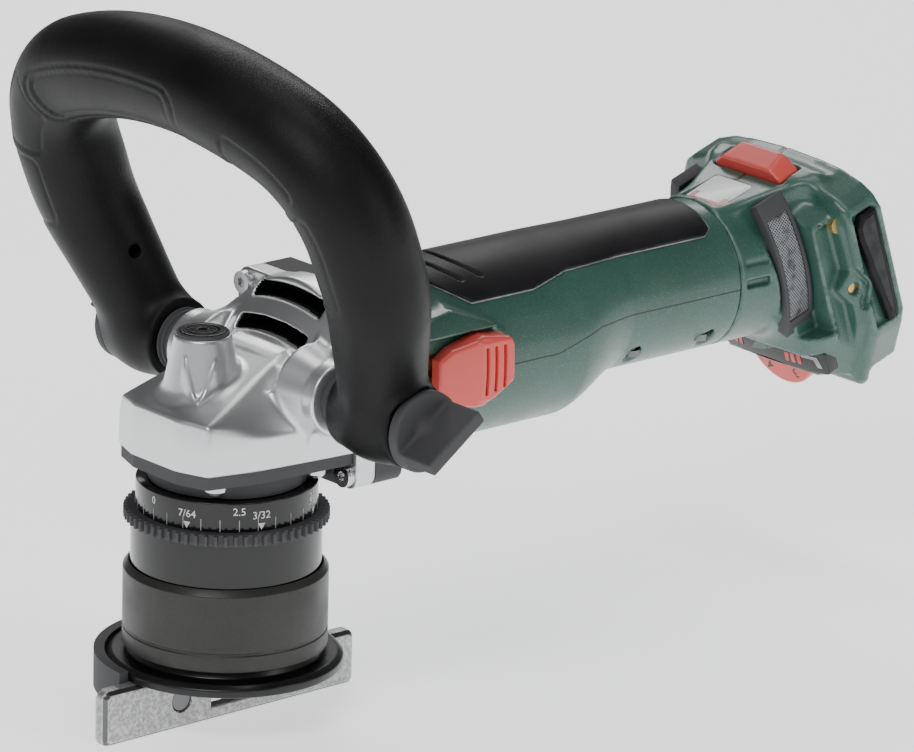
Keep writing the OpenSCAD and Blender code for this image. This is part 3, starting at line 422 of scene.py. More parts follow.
def prism(name: str, outline: Sequence[tuple[float, float]], place: Callable[[float, float, float], Point],
          low: float, high: float, bevel: float = 0.3) -> bpy.types.Object:
    """Runs a flat outline between two heights, with bevelled edges.

    Args:
        name: Object name.
        outline: Corners of the outline, in millimetres.
        place: Takes outline u, v and height to the row frame, in millimetres.
        low: First height.
        high: Second height.
        bevel: Edge bevel.

    Returns:
        The new object.
    """
    bm = bmesh.new()
    rings = [[bm.verts.new(Vector(place(u, v, h)) * MM) for u, v in outline] for h in (low, high)]
    n = len(outline)
    for i in range(n):
        bm.faces.new((rings[0][i], rings[0][(i + 1) % n], rings[1][(i + 1) % n], rings[1][i]))
    bm.faces.new(rings[0][::-1])
    bm.faces.new(rings[1])
    bmesh.ops.recalc_face_normals(bm, faces=bm.faces)
    if bevel > 0:
        sharp = [e for e in bm.edges if e.calc_face_angle(0.0) > math.radians(30)]
        bmesh.ops.bevel(bm, geom=sharp, offset=bevel * MM, segments=3, profile=0.5, affect="EDGES",
                        clamp_overlap=True)
    return finish_bmesh(name, bm)


def lettering(text: str, height: float, place: Callable[[float, float, float], Point],
              middle: tuple[float, float],
              finish: "Finish") -> bpy.types.Object:
    """Flat lettering laid on a surface.

    Args:
        text: What it says.
        height: Height of a figure, in millimetres.
        place: Takes run, height and depth to the row frame, in millimetres.
        middle: Run and height of the text's middle.
        finish: Its finish.

    Returns:
        The letters, as a thin mesh.
    """
    curve = bpy.data.curves.new("figures", "FONT")
    curve.body = text
    curve.size = height / 0.7
    curve.align_x, curve.align_y = "CENTER", "CENTER"
    curve.resolution_u = 3
    obj = bpy.data.objects.new("figures", curve)
    bpy.context.scene.collection.objects.link(obj)
    bpy.context.view_layer.update()
    mesh = bpy.data.meshes.new_from_object(obj.evaluated_get(bpy.context.evaluated_depsgraph_get()))
    bpy.data.objects.remove(obj)
    bm = bmesh.new()
    bm.from_mesh(mesh)
    bmesh.ops.remove_doubles(bm, verts=bm.verts, dist=1e-4)
    raised = bmesh.ops.extrude_face_region(bm, geom=list(bm.faces))["geom"]
    top = {v for v in raised if isinstance(v, bmesh.types.BMVert)}
    for v in bm.verts:
        v.co = Vector(place(v.co.x + middle[0], v.co.y + middle[1], 0.05 if v in top else -0.05)) * MM
    return dress(finish_bmesh("figures", bm), finish)


def rounded_outline(half_u: float, half_v: float, r: float, steps: int = 6) -> list[tuple[float, float]]:
    """Corners of a rounded rectangle about the origin.

    Args:
        half_u: Half its first side.
        half_v: Half its second side.
        r: Corner radius.
        steps: Points in each corner.

    Returns:
        The outline, anticlockwise.
    """
    out = []
    for i, (su, sv) in enumerate(((1, 1), (-1, 1), (-1, -1), (1, -1))):
        for k in range(steps + 1):
            t = math.radians(90 * (i + k / steps))
            out.append((su * (half_u - r) + r * math.cos(t), sv * (half_v - r) + r * math.sin(t)))
    return out


def join(name: str, parts: Sequence[bpy.types.Object]) -> bpy.types.Object:
    """Joins several meshes into one.

    Args:
        name: Name of the joined object.
        parts: The meshes, which are removed.

    Returns:
        The joined object.
    """
    bm = bmesh.new()
    materials: list[bpy.types.Material] = []
    for p in parts:
        shift = {}
        for i, m in enumerate(p.data.materials):
            if m not in materials:
                materials.append(m)
            shift[i] = materials.index(m)
        start = len(bm.faces)
        bm.from_mesh(p.data)
        bm.faces.ensure_lookup_table()
        for f in bm.faces[start:]:
            f.material_index = shift.get(f.material_index, 0)
    mesh = bpy.data.meshes.new(name)
    bm.to_mesh(mesh)
    bm.free()
    for m in materials:
        mesh.materials.append(m)
    for p in parts:
        bpy.data.objects.remove(p)
    obj = bpy.data.objects.new(name, mesh)
    bpy.context.scene.collection.objects.link(obj)
    return obj


# ---- Finishes ------------------------------------------------------------


class Sheet:
    """A short way to wire a material's nodes."""

    def __init__(self, name: str) -> None:
        """Starts an empty material with one surface shader, named name."""
        self.material = bpy.data.materials.new(name)
        self.material.use_nodes = True
        self.nodes = self.material.node_tree.nodes
        self.links = self.material.node_tree.links
        self.nodes.clear()
        out = self.nodes.new("ShaderNodeOutputMaterial")
        self.shader = self.nodes.new("ShaderNodeBsdfPrincipled")
        self.links.new(self.shader.outputs[0], out.inputs[0])
        self.place = self.nodes.new("ShaderNodeTexCoord").outputs["Object"]

    def feed(self, node: bpy.types.Node, key: object, value: object) -> None:
        """Sets or links one input.

        Args:
            node: The node.
            key: The input's name or number.
            value: A socket to link, or a plain value.
        """
        if isinstance(value, bpy.types.NodeSocket):
            self.links.new(value, node.inputs[key])
        elif isinstance(value, tuple) and len(value) == 3 and node.inputs[key].type == "RGBA":
            node.inputs[key].default_value = (*value, 1.0)
        else:
            node.inputs[key].default_value = value

    def noise(self, scale: float, detail: float = 4.0, rough: float = 0.55) -> bpy.types.NodeSocket:
        """Noise over the object.

        Args:
            scale: Cells in a metre.
            detail: Octaves.
            rough: Strength of the fine octaves.

        Returns:
            The value, about 0 to 1.
        """
        n = self.nodes.new("ShaderNodeTexNoise")
        self.feed(n, "Vector", self.place)
        self.feed(n, "Scale", scale)
        self.feed(n, "Detail", detail)
        self.feed(n, "Roughness", rough)
        return n.outputs["Fac"]

    def cells(self, scale: float, feature: str = "F1") -> bpy.types.NodeSocket:
        """Cell pattern over the object.

        Args:
            scale: Cells in a metre.
            feature: Which distance is taken.

        Returns:
            The distance.
        """
        n = self.nodes.new("ShaderNodeTexVoronoi")
        n.feature = feature
        self.feed(n, "Vector", self.place)
        self.feed(n, "Scale", scale)
        return n.outputs["Distance"]

    def band(self, value: object, low: float, high: float, out_low: float = 0.0,
             out_high: float = 1.0) -> bpy.types.NodeSocket:
        """Maps a value from one range to another, with soft ends.

        Args:
            value: The socket to map.
            low: Start of its range.
            high: End of its range.
            out_low: Result at low.
            out_high: Result at high.

        Returns:
            The mapped value.
        """
        n = self.nodes.new("ShaderNodeMapRange")
        n.interpolation_type = "SMOOTHSTEP"
        for key, v in enumerate((value, low, high, out_low, out_high)):
            self.feed(n, key, v)
        return n.outputs[0]

    def mix(self, fac: object, a: object, b: object) -> bpy.types.NodeSocket:
        """Mixes two colours.

        Args:
            fac: Share of the second.
            a: First colour.
            b: Second colour.

        Returns:
            The mixed colour.
        """
        n = self.nodes.new("ShaderNodeMix")
        n.data_type = "RGBA"
        self.feed(n, 0, fac)
        self.feed(n, 6, a)
        self.feed(n, 7, b)
        return n.outputs[2]

    def math(self, kind: str, a: object, b: object = 0.0) -> bpy.types.NodeSocket:
        """One sum.

        Args:
            kind: The operation.
            a: First value.
            b: Second value.

        Returns:
            The result.
        """
        n = self.nodes.new("ShaderNodeMath")
        n.operation = kind
        self.feed(n, 0, a)
        self.feed(n, 1, b)
        return n.outputs[0]

    def split(self) -> tuple[bpy.types.NodeSocket, bpy.types.NodeSocket, bpy.types.NodeSocket]:
        """The object's three coordinates, in metres."""
        n = self.nodes.new("ShaderNodeSeparateXYZ")
        self.links.new(self.place, n.inputs[0])
        return n.outputs[0], n.outputs[1], n.outputs[2]

    def bump(self, height: object, distance: float, strength: float = 1.0,
             under: object = None) -> bpy.types.NodeSocket:
        """A bump.

        Args:
            height: Height value, 0 to 1.
            distance: Height in metres of a value of 1.
            strength: Strength of the effect.
            under: A bump to build on.

        Returns:
            The bent normal.
        """
        n = self.nodes.new("ShaderNodeBump")
        self.feed(n, "Height", height)
        self.feed(n, "Distance", distance)
        self.feed(n, "Strength", strength)
        if under is not None:
            self.feed(n, "Normal", under)
        return n.outputs[0]

    def edges(self, width: float) -> bpy.types.NodeSocket:
        """How far a place is an outer edge, from Pointiness, sharper for a smaller width."""
        n = self.nodes.new("ShaderNodeNewGeometry")
        return self.band(n.outputs["Pointiness"], 0.5 + width * 0.2, 0.5 + width)

    def surface(self, **values: object) -> None:
        """Feeds the surface shader's inputs, given with _ for each space."""
        for key, v in values.items():
            self.feed(self.shader, key.replace("_", " "), v)


@dataclass(frozen=True)
class Finish:
    """A finish with one built material, kept by name."""

    name: str

    def build(self, s: Sheet) -> None:
        """Wires the finish into a fresh sheet."""
        raise NotImplementedError

    def material(self) -> bpy.types.Material:
        """The finish's material, built at its first use."""
        found = bpy.data.materials.get(self.name)
        if found is None:
            s = Sheet(self.name)
            self.build(s)
            found = s.material
        return found


@dataclass(frozen=True)
class Moulded(Finish):
    """Moulded plastic or rubber with a spark-eroded grain.

    Args:
        name: Material name.
        colour: Base colour.
        rough: Mean roughness.
        grain: Size of the grain in metres.
        depth: Height of the grain in metres.
        coat: Weight of the clear skin.
        worn: Colour on rubbed edges.
        sheen: Weight of the dusty sheen.
    """

    colour: Colour = (0.02, 0.02, 0.022)
    rough: float = 0.5
    grain: float = 0.0006
    depth: float = 0.00004
    coat: float = 0.0
    worn: Colour = (0.08, 0.08, 0.085)
    sheen: float = 0.0

    def build(self, s: Sheet) -> None:
        """Wires grain, cloudy colour and rubbed edges."""
        fine = s.noise(1 / self.grain, 3.0, 0.6)
        broad = s.noise(38.0, 4.0, 0.5)
        rub = s.math("MULTIPLY", s.edges(0.06), s.band(s.noise(150.0, 4.0), 0.42, 0.62))
        dark = tuple(c * 0.82 for c in self.colour)
        light = tuple(min(1.0, c * 1.16) for c in self.colour)
        base = s.mix(s.band(broad, 0.32, 0.68), dark, light)
        base = s.mix(s.math("MULTIPLY", rub, 0.5), base, self.worn)
        rough = s.band(s.math("ADD", broad, s.math("MULTIPLY", fine, 0.4)), 0.45, 0.95, self.rough - 0.06,
                       self.rough + 0.07)
        s.surface(Base_Color=base, Roughness=rough, Normal=s.bump(fine, self.depth))
        s.surface(Coat_Weight=self.coat, Coat_Roughness=0.25, Sheen_Weight=self.sheen)
        s.surface(Specular_IOR_Level=0.2)


@dataclass(frozen=True)
class FleckedShell(Finish):
    """Dark green housing plastic with fine bright fleck and the shells' parting line.

    Args:
        name: Material name.
        seam: X and Z of the parting line's corners in metres, or empty for none.
        split: Whether the piece parts along its middle plane instead.
    """

    seam: tuple[tuple[float, float], ...] = ()
    split: bool = False

    def build(self, s: Sheet) -> None:
        """Wires fleck, cloud, grain and the parting line."""
        cloud = s.band(s.noise(30.0, 4.0), 0.3, 0.7)
        base = s.mix(cloud, (0.026, 0.083, 0.062), (0.034, 0.102, 0.078))
        speck = s.band(s.noise(2600.0, 2.0, 0.7), 0.56, 0.74)
        base = s.mix(s.math("MULTIPLY", speck, 0.6), base, (0.2, 0.34, 0.29))
        deep = s.band(s.noise(2100.0, 2.0, 0.7), 0.58, 0.72)
        base = s.mix(s.math("MULTIPLY", deep, 0.45), base, (0.012, 0.04, 0.03))
        rub = s.math("MULTIPLY", s.edges(0.05), s.band(s.noise(160.0, 4.0), 0.4, 0.6))
        base = s.mix(s.math("MULTIPLY", rub, 0.35), base, (0.16, 0.27, 0.23))
        grain = s.bump(s.noise(1500.0, 3.0), 0.00003)
        line = self._line(s)
        if line is not None:
            base = s.mix(s.math("MULTIPLY", line, 0.9), base, (0.004, 0.012, 0.01))
            grain = s.bump(s.math("SUBTRACT", 1.0, line), 0.0003, 1.0, grain)
        rough = s.band(s.noise(90.0, 5.0), 0.3, 0.7, 0.31, 0.4)
        s.surface(Base_Color=base, Roughness=rough, Normal=grain, Metallic=s.math("MULTIPLY", speck, 0.5))
        s.surface(Coat_Weight=0.25, Coat_Roughness=0.2)

    def _line(self, s: Sheet) -> Optional[bpy.types.NodeSocket]:
        """How far a place is on the parting line, or None where there is none."""
        x, y, z = s.split()
        if self.split:
            return s.band(s.math("ABSOLUTE", y), 0.00016, 0.0003, 1.0, 0.0)
        if not self.seam:
            return None
        height: object = self.seam[0][1]
        for (x0, z0), (x1, z1) in zip(self.seam, self.seam[1:]):
            n = s.nodes.new("ShaderNodeMapRange")
            for key, v in enumerate((x, x0, x1, 0.0, z1 - z0)):
                s.feed(n, key, v)
            height = s.math("ADD", n.outputs[0], height)
        return s.band(s.math("ABSOLUTE", s.math("SUBTRACT", z, height)), 0.00014, 0.0003, 1.0, 0.0)


@dataclass(frozen=True)
class Blasted(Finish):
    """Cast metal, bead blasted: a fine sparkling skin.

    Args:
        name: Material name.
        colour: Metal colour.
        rough: Mean roughness.
        grain: Bead size in metres.
        depth: Height of the texture in metres.
    """

    colour: Colour = (0.56, 0.57, 0.58)
    rough: float = 0.46
    grain: float = 0.0006
    depth: float = 0.00014

    def build(self, s: Sheet) -> None:
        """Wires the blasted grain, spots and polished edges."""
        pit = s.noise(1 / self.grain, 2.0, 0.6)
        spot = s.band(s.noise(0.7 / self.grain, 2.0, 0.7), 0.35, 0.7)
        base = s.mix(spot, tuple(c * 0.66 for c in self.colour), tuple(min(1, c * 1.22) for c in self.colour))
        cloud = s.band(s.noise(45.0, 5.0), 0.3, 0.7)
        base = s.mix(s.math("MULTIPLY", cloud, 0.18), base, tuple(c * 0.7 for c in self.colour))
        base = s.mix(s.math("MULTIPLY", s.edges(0.05), 0.4), base, (0.9, 0.9, 0.9))
        rough = s.band(pit, 0.3, 0.7, self.rough - 0.08, self.rough + 0.1)
        s.surface(Base_Color=base, Metallic=0.82, Roughness=rough, Normal=s.bump(pit, self.depth))


@dataclass(frozen=True)
class Turned(Finish):
    """Turned or ground metal or coated metal, with fine rings round the spindle.

    Args:
        name: Material name.
        colour: Base colour.
        metal: How metallic it is.
        rough: Mean roughness.
        coat: Weight of a clear skin.
        ring: Rings in a metre of height.
        depth: Height of the rings in metres.
    """

    colour: Colour = (0.5, 0.5, 0.52)
    metal: float = 1.0
    rough: float = 0.3
    coat: float = 0.0
    ring: float = 2500.0
    depth: float = 0.000008

    def build(self, s: Sheet) -> None:
        """Wires rings, streaks and smudges."""
        _, _, z = s.split()
        wave = s.math("SINE", s.math("MULTIPLY", z, self.ring * 2 * math.pi))
        smudge = s.noise(60.0, 6.0, 0.6)
        fine = s.noise(900.0, 3.0)
        base = s.mix(s.band(fine, 0.3, 0.7), tuple(c * 0.94 for c in self.colour),
                     tuple(min(1, c * 1.06) for c in self.colour))
        base = s.mix(s.math("MULTIPLY", s.edges(0.05), 0.3), base,
                     tuple(min(1, c * 2 + 0.08) for c in self.colour))
        rough = s.band(smudge, 0.35, 0.7, self.rough - 0.05, self.rough + 0.09)
        height = s.math("ADD", s.math("MULTIPLY", wave, 0.3), fine)
        s.surface(Base_Color=base, Metallic=self.metal, Roughness=rough, Normal=s.bump(height, self.depth))
        s.surface(Coat_Weight=self.coat, Coat_Roughness=0.12, Specular_IOR_Level=0.4)


@dataclass(frozen=True)
class WovenWire(Finish):
    """Fine woven wire cloth drawn over a closed panel."""

    pitch: float = 0.0011

    def build(self, s: Sheet) -> None:
        """Wires crossing wires with dark holes between them."""
        x, _, z = s.split()
        k = 2 * math.pi / self.pitch
        a = s.math("SINE", s.math("MULTIPLY", s.math("ADD", x, z), k))
        b = s.math("SINE", s.math("MULTIPLY", s.math("SUBTRACT", x, z), k))
        weave = s.math("MAXIMUM", a, b)
        base = s.mix(s.band(weave, -0.1, 0.7), (0.015, 0.015, 0.016), (0.42, 0.43, 0.45))
        base = s.mix(s.band(s.noise(260.0, 5.0), 0.5, 0.75), base, (0.1, 0.1, 0.105))
        s.surface(Base_Color=base, Metallic=0.7, Roughness=0.45, Normal=s.bump(weave, 0.0002))


class Finishes:
    """All the finishes, by plain names."""

    GREEN = FleckedShell("green_shell", seam=((0.0, 0.084), (0.107, 0.084), (0.125, 0.0889), (0.3, 0.0889)))
    GREEN_FOOT = FleckedShell("green_foot", split=True)
    RUBBER = Moulded("rubber", (0.0035, 0.0035, 0.004), 0.46, 0.0006, 0.00007, 0.0, (0.012, 0.012, 0.013))
    RUBBER_PAD = Moulded("rubber_pad", (0.009, 0.009, 0.0105), 0.48, 0.0005, 0.00008, 0.0,
                         (0.05, 0.05, 0.055))
    BUMPER = Moulded("bumper_rubber", (0.028, 0.028, 0.031), 0.55, 0.0005, 0.0001, 0.0, (0.1, 0.1, 0.1))
    BLACK = Moulded("black_plastic", (0.0035, 0.0035, 0.004), 0.34, 0.0006, 0.00003, 0.2, (0.05, 0.05, 0.055))
    # Pale grey for the lip under the pad's edge: a painted highlight along that edge.
    PAD_LIP_HIGHLIGHT = Moulded("painted_lip_highlight", (0.25, 0.26, 0.26), 0.45, 0.0005, 0.00002, 0.0, (0.5, 0.5, 0.5))
    RED = Moulded("red_plastic", (0.5, 0.004, 0.006), 0.38, 0.0007, 0.00002, 0.1, (0.6, 0.03, 0.03))
    LABEL = Moulded("label_film", (0.5, 0.51, 0.53), 0.35, 0.002, 0.00001, 0.4, (0.7, 0.7, 0.7))
    LABEL_RED = Moulded("label_red", (0.55, 0.06, 0.05), 0.38, 0.002, 0.00001, 0.3, (0.7, 0.3, 0.3))
    PRINT = Moulded("print_white", (0.6, 0.6, 0.6), 0.45, 0.001, 0.00001, 0.0, (0.8, 0.8, 0.8))
    PRINT_GREY = Moulded("print_grey", (0.3, 0.3, 0.31), 0.5, 0.001, 0.00001, 0.0, (0.5, 0.5, 0.5))
    CAST = Blasted("cast_housing")
    FENCE = Blasted("fence_face", (0.5, 0.5, 0.505), 0.5, 0.0007, 0.00009)
    # Dark bevel colour: partly the chamfer's own darker metal, partly painted shade standing in for the thin
    # groove line along the fence face.
    FENCE_BEVEL_SHADE = Turned("fence_bevel_shade", (0.13, 0.13, 0.13), 0.9, 0.3)
    SLEEVE = Turned("sleeve_coat", (0.036, 0.037, 0.034), 0.3, 0.4, 0.0, 1200.0, 0.000002)
    GLOSS = Turned("black_gloss", (0.003, 0.003, 0.0035), 0.0, 0.16, 0.15, 1500.0, 0.0000015)
    PLATE = Turned("black_anodised", (0.004, 0.004, 0.0045), 0.0, 0.36, 0.1, 1500.0, 0.000003)
    # Near black painted shade, laid on the louvre slots' deep faces in place of the shaded hollow behind them.
    SLOT_SHADE = Moulded("painted_slot_shade", (0.002, 0.002, 0.002), 0.7, 0.0008, 0.00002, 0.0, (0.004, 0.004, 0.004))
    STEEL = Turned("bright_steel", (0.6, 0.6, 0.61), 1.0, 0.24)
    DARK_STEEL = Turned("dark_steel", (0.12, 0.12, 0.125), 1.0, 0.35)
    BRASS = Turned("brass", (0.55, 0.36, 0.12), 1.0, 0.3)
    CARBIDE = Turned("coated_carbide", (0.55, 0.38, 0.12), 1.0, 0.3)
    COPPER = Turned("winding", (0.4, 0.17, 0.07), 0.7, 0.4, 0.3, 1600.0, 0.00005)
    BOARD = Moulded("board", (0.02, 0.09, 0.04), 0.4, 0.001, 0.00002, 0.2, (0.1, 0.2, 0.1))
    MESH = WovenWire("wire_cloth")


def dress(obj: bpy.types.Object, finish: Finish) -> bpy.types.Object:
    """Gives a piece one finish, in place of any it has, and returns it."""
    obj.data.materials.clear()
    obj.data.materials.append(finish.material())
    return obj


def paint(obj: bpy.types.Object, where: Callable[[Array, Array, Array], Array], index: int) -> None:
    """Gives some of a piece's faces another of its materials.

    Args:
        obj: The piece.
        where: Says which face middles are painted, from their places in millimetres.
        index: Which material.
    """
    mesh = obj.data
    mids = np.empty(len(mesh.polygons) * 3, np.float32)
    mesh.polygons.foreach_get("center", mids)
    mids = mids.reshape(-1, 3) / MM
    old = np.zeros(len(mesh.polygons), np.int32)
    mesh.polygons.foreach_get("material_index", old)
    chosen = where(mids[:, 0], mids[:, 1], mids[:, 2])
    mesh.polygons.foreach_set("material_index", np.where(chosen, index, old).astype(np.int32))


def mount(obj: bpy.types.Object, body: str, slot: str, *nodes: str) -> bpy.types.Object:
    """Puts a finished piece on its body.

    Args:
        obj: The piece.
        body: The CAD body it rides on.
        slot: The record's material slot; not used.
        nodes: CAD nodes it stands for.

    Returns:
        The piece.
    """
    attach(obj, body)
    if nodes:
        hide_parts(*nodes)
    LOG.info("%s: %d faces on %s", obj.name, len(obj.data.polygons), body)
    return obj


# ---- Sub-assemblies ------------------------------------------------------


@dataclass
class BailHandle:
    """The rubber-covered bail handle: sizes in millimetres, as in the part's source."""

    pivot: Point = (15.0, 0.0, 88.0)
    tilt: float = 20.5
    half: float = 69.4
    pivot_half: float = 54.2
    height: float = 104.0
    tube_r: float = 16.0
    leg_r: float = 12.9
    lean: float = 19.0
    leg_arc: float = 45.0
    corner_arc: float = 34.3
    crown_turn: float = 20.6
    swell: float = 60.0
    line: Array = field(init=False)

    def __post_init__(self) -> None:
        """Works out the centre line of one half, from the pivot to the crown."""
        rad = math.radians
        lean_sag = 1 - math.cos(rad(self.lean))
        run = (self.half - self.pivot_half - self.leg_arc * lean_sag) / math.tan(rad(self.lean))
        crown_end = self.half - self.corner_arc * (1 - math.sin(rad(self.crown_turn)))
        crown_r = crown_end / math.sin(rad(self.crown_turn))
        arc_top = run + self.leg_arc * math.sin(rad(self.lean))
        crown_cos = math.cos(rad(self.crown_turn))
        leg_top = self.height - self.corner_arc * crown_cos - crown_r * (1 - crown_cos)
        pts = [(self.pivot_half, 0.0)]
        for i in range(9):
            t = rad(-self.lean * (1 - i / 8))
            pts.append((self.half - self.leg_arc * (1 - math.cos(t)), arc_top + self.leg_arc * math.sin(t)))
        for i in range(1, 5):
            pts.append((self.half, arc_top + (leg_top - arc_top) * i / 5))
        for i in range(19):
            t = rad((90 - self.crown_turn) * i / 18)
            pts.append((self.half - self.corner_arc * (1 - math.cos(t)),
                        leg_top + self.corner_arc * math.sin(t)))
        for i in range(1, 11):
            t = rad(90 - self.crown_turn * (1 - i / 10))
            pts.append((crown_r * math.cos(t), self.height - crown_r * (1 - math.sin(t))))
        self.line = np.array(pts)

    def along(self, u: Array, v: Array) -> tuple[Array, Array, Array]:
        """Nearest place on the centre line.

        Args:
            u: Coordinate across.
            v: Coordinate up.

        Returns:
            Squared distance, run from the crown's middle, and which side of the line (1 outside).
        """
        a = np.abs(u)
        best = np.full(np.broadcast(a, v).shape, 1e9)
        run = np.zeros_like(best)
        side = np.ones_like(best)
        lengths = np.linalg.norm(np.diff(self.line, axis=0), axis=1)
        total = lengths.sum()
        passed = 0.0
        for (ax, ay), (bx, by), size in zip(self.line[:-1], self.line[1:], lengths):
            ex, ey = (bx - ax) / size, (by - ay) / size
            t = np.clip((a - ax) * ex + (v - ay) * ey, 0, size)
            dx, dy = a - ax - ex * t, v - ay - ey * t
            d = dx * dx + dy * dy
            near = d < best
            best = np.where(near, d, best)
            run = np.where(near, total - passed - t, run)
            side = np.where(near, np.where(dx * ey - dy * ex > 0, 1.0, -1.0), side)
            passed += size
        return best, run, side

    def shape(self, u: Array, w: Array, v: Array) -> Array:
        """Distance to the handle in its own frame.

        Args:
            u: Coordinate across.
            w: Coordinate square to the handle's plane.
            v: Coordinate up.

        Returns:
            The distance, negative inside.
        """
        d2, _, _ = self.along(u, v)
        f = np.clip(v / self.swell, 0, 1)
        r = self.leg_r + (self.tube_r - self.leg_r) * f * f * (3 - 2 * f)
        tube = np.sqrt(d2 + w * w) - r
        reach = np.where(u < 0, self.pivot_half + self.leg_r + 2.8, self.pivot_half + self.leg_r - 2.2)
        p = np.sqrt(v * v + w * w)
        boss = soft_max(p - self.leg_r + 0.4, np.abs(u) - reach, 1.0)
        boss = soft_max(boss, self.pivot_half - 12.6 - np.abs(u), 1.0)
        tube = soft_max(tube, -(v + 10.5), 3.0)
        d = soft_min(tube, boss, 5.0)
        seat = soft_max(p - 12.9, np.where(u < 0, 70.2, 65.2) - np.abs(u), 0.3)
        d = carve(d, seat, 0.8)
        hole = soft_max(np.sqrt((v - 30.0) ** 2 + (w + 1.0) ** 2) - 2.1, u - 57.0, 0.2)
        return carve(d, soft_max(hole, 44.0 - u, 0.2), 0.6)

    def relief(self, p: Array, n: Array) -> Array:
        """Grooves, panels and ridges moulded in the rubber.

        Args:
            p: Points in the handle's frame.
            n: Their outward directions.

        Returns:
            The height at each point, in millimetres.
        """
        d2, run, side = self.along(p[:, 0], p[:, 2])
        angle = np.degrees(np.arctan2(p[:, 1], side * np.sqrt(d2)))
        signed = run * np.sign(-p[:, 0])
        out = np.zeros(len(p))

        def panel(mid_s: float, half_s: float, mid_a: float, half_a: float, corner: float,
                  depth: float) -> Array:
            """A sunken panel with a grooved rim, placed by run and angle."""
            mm = math.radians(1) * self.tube_r
            turn = (angle - mid_a + 180.0) % 360.0 - 180.0
            q = box_field(signed, turn * mm, np.zeros_like(signed),
                          (mid_s - half_s, -half_a * mm, -9), (mid_s + half_s, half_a * mm, 9), corner)
            return -depth * np.clip(0.5 - q / 0.9, 0, 1) - 0.35 * np.exp(-(q / 0.55) ** 2)

        out += panel(-21.0, 34.0, -98.0, 27.0, 4.0, 0.35)
        out += panel(-21.0, 38.0, -100.0, 38.0, 7.0, 0.2)
        for mid, half_s, mid_a in ((52.0, 15.0, -112.0), (88.0, 16.0, -118.0), (-72.0, 11.0, -80.0),
                                   (-98.0, 12.0, -70.0)):
            out += panel(mid, half_s, mid_a, 34.0, 3.0, 0.3)
        return out

    def place(self, p: Array) -> Array:
        """Moves points from the handle's frame to the row frame."""
        t = math.radians(self.tilt)
        u, w, v = p[:, 0], p[:, 1], p[:, 2]
        return np.stack([
            self.pivot[0] + w * math.cos(t) - v * math.sin(t),
            self.pivot[1] + u,
            self.pivot[2] + w * math.sin(t) + v * math.cos(t)], 1)

    def build(self) -> None:
        """Builds the handle."""
        skin = Sculptor(0.85).skin("handle_rubber", self.shape, (-88, -18, -16), (88, 18, 122), self.place,
                                   self.relief)
        mount(dress(skin, Finishes.RUBBER), "bail_group", "rubber_grip", "bail_handle")


@dataclass
class WingLever:
    """A wing lever on the handle's pivot."""

    side: Side
    pivot: Point = (15.0, 0.0, 88.0)
    face: float = 70.4
    radius: float = 12.4
    wing: float = 17.0
    turn: float = 35.6

    def shape(self, u: Array, v: Array, h: Array) -> Array:
        """Distance to the lever: u runs along the wing, v across it, h outwards from the inner face."""
        disc = drum_field(u, v, h, self.radius, 0.0, 3.6, 1.0)
        grow = 0.5 + 0.5 * np.clip(h / self.wing, 0, 1)
        wing = box_field(u, v, h, (-self.radius + 0.8, -2.2, 1.0), (self.radius - 0.8, 2.2, self.wing), 0.7)
        dome = np.sqrt(u * u + v * v * 0.9 + (h * 1.35) ** 2 * 0.25) - self.radius * 0.55 * grow
        return soft_min(soft_min(disc, dome, 2.0), wing, 1.4)

    def place(self, p: Array) -> Array:
        """Moves points from the lever's frame to the row frame."""
        t = math.radians(self.turn)
        s = self.side.value
        a = p[:, 0] * math.cos(t) - p[:, 1] * math.sin(t)
        b = p[:, 0] * math.sin(t) + p[:, 1] * math.cos(t)
        return np.stack([self.pivot[0] + a, s * (self.face + p[:, 2]), self.pivot[2] - s * b], 1)

    def build(self) -> None:
        """Builds the lever."""
        name = f"{self.side.name.lower()}_wing_lever"
        skin = Sculptor(0.4).skin(name, self.shape, (-14, -14, -1), (14, 14, self.wing + 1.5), self.place)
        if self.side is Side.FAR:
            skin.data.flip_normals()
        mount(dress(skin, Finishes.BLACK), f"{self.side.name.lower()}_lever_group", "black_plastic",
              f"{self.side.name.lower()}_lever")


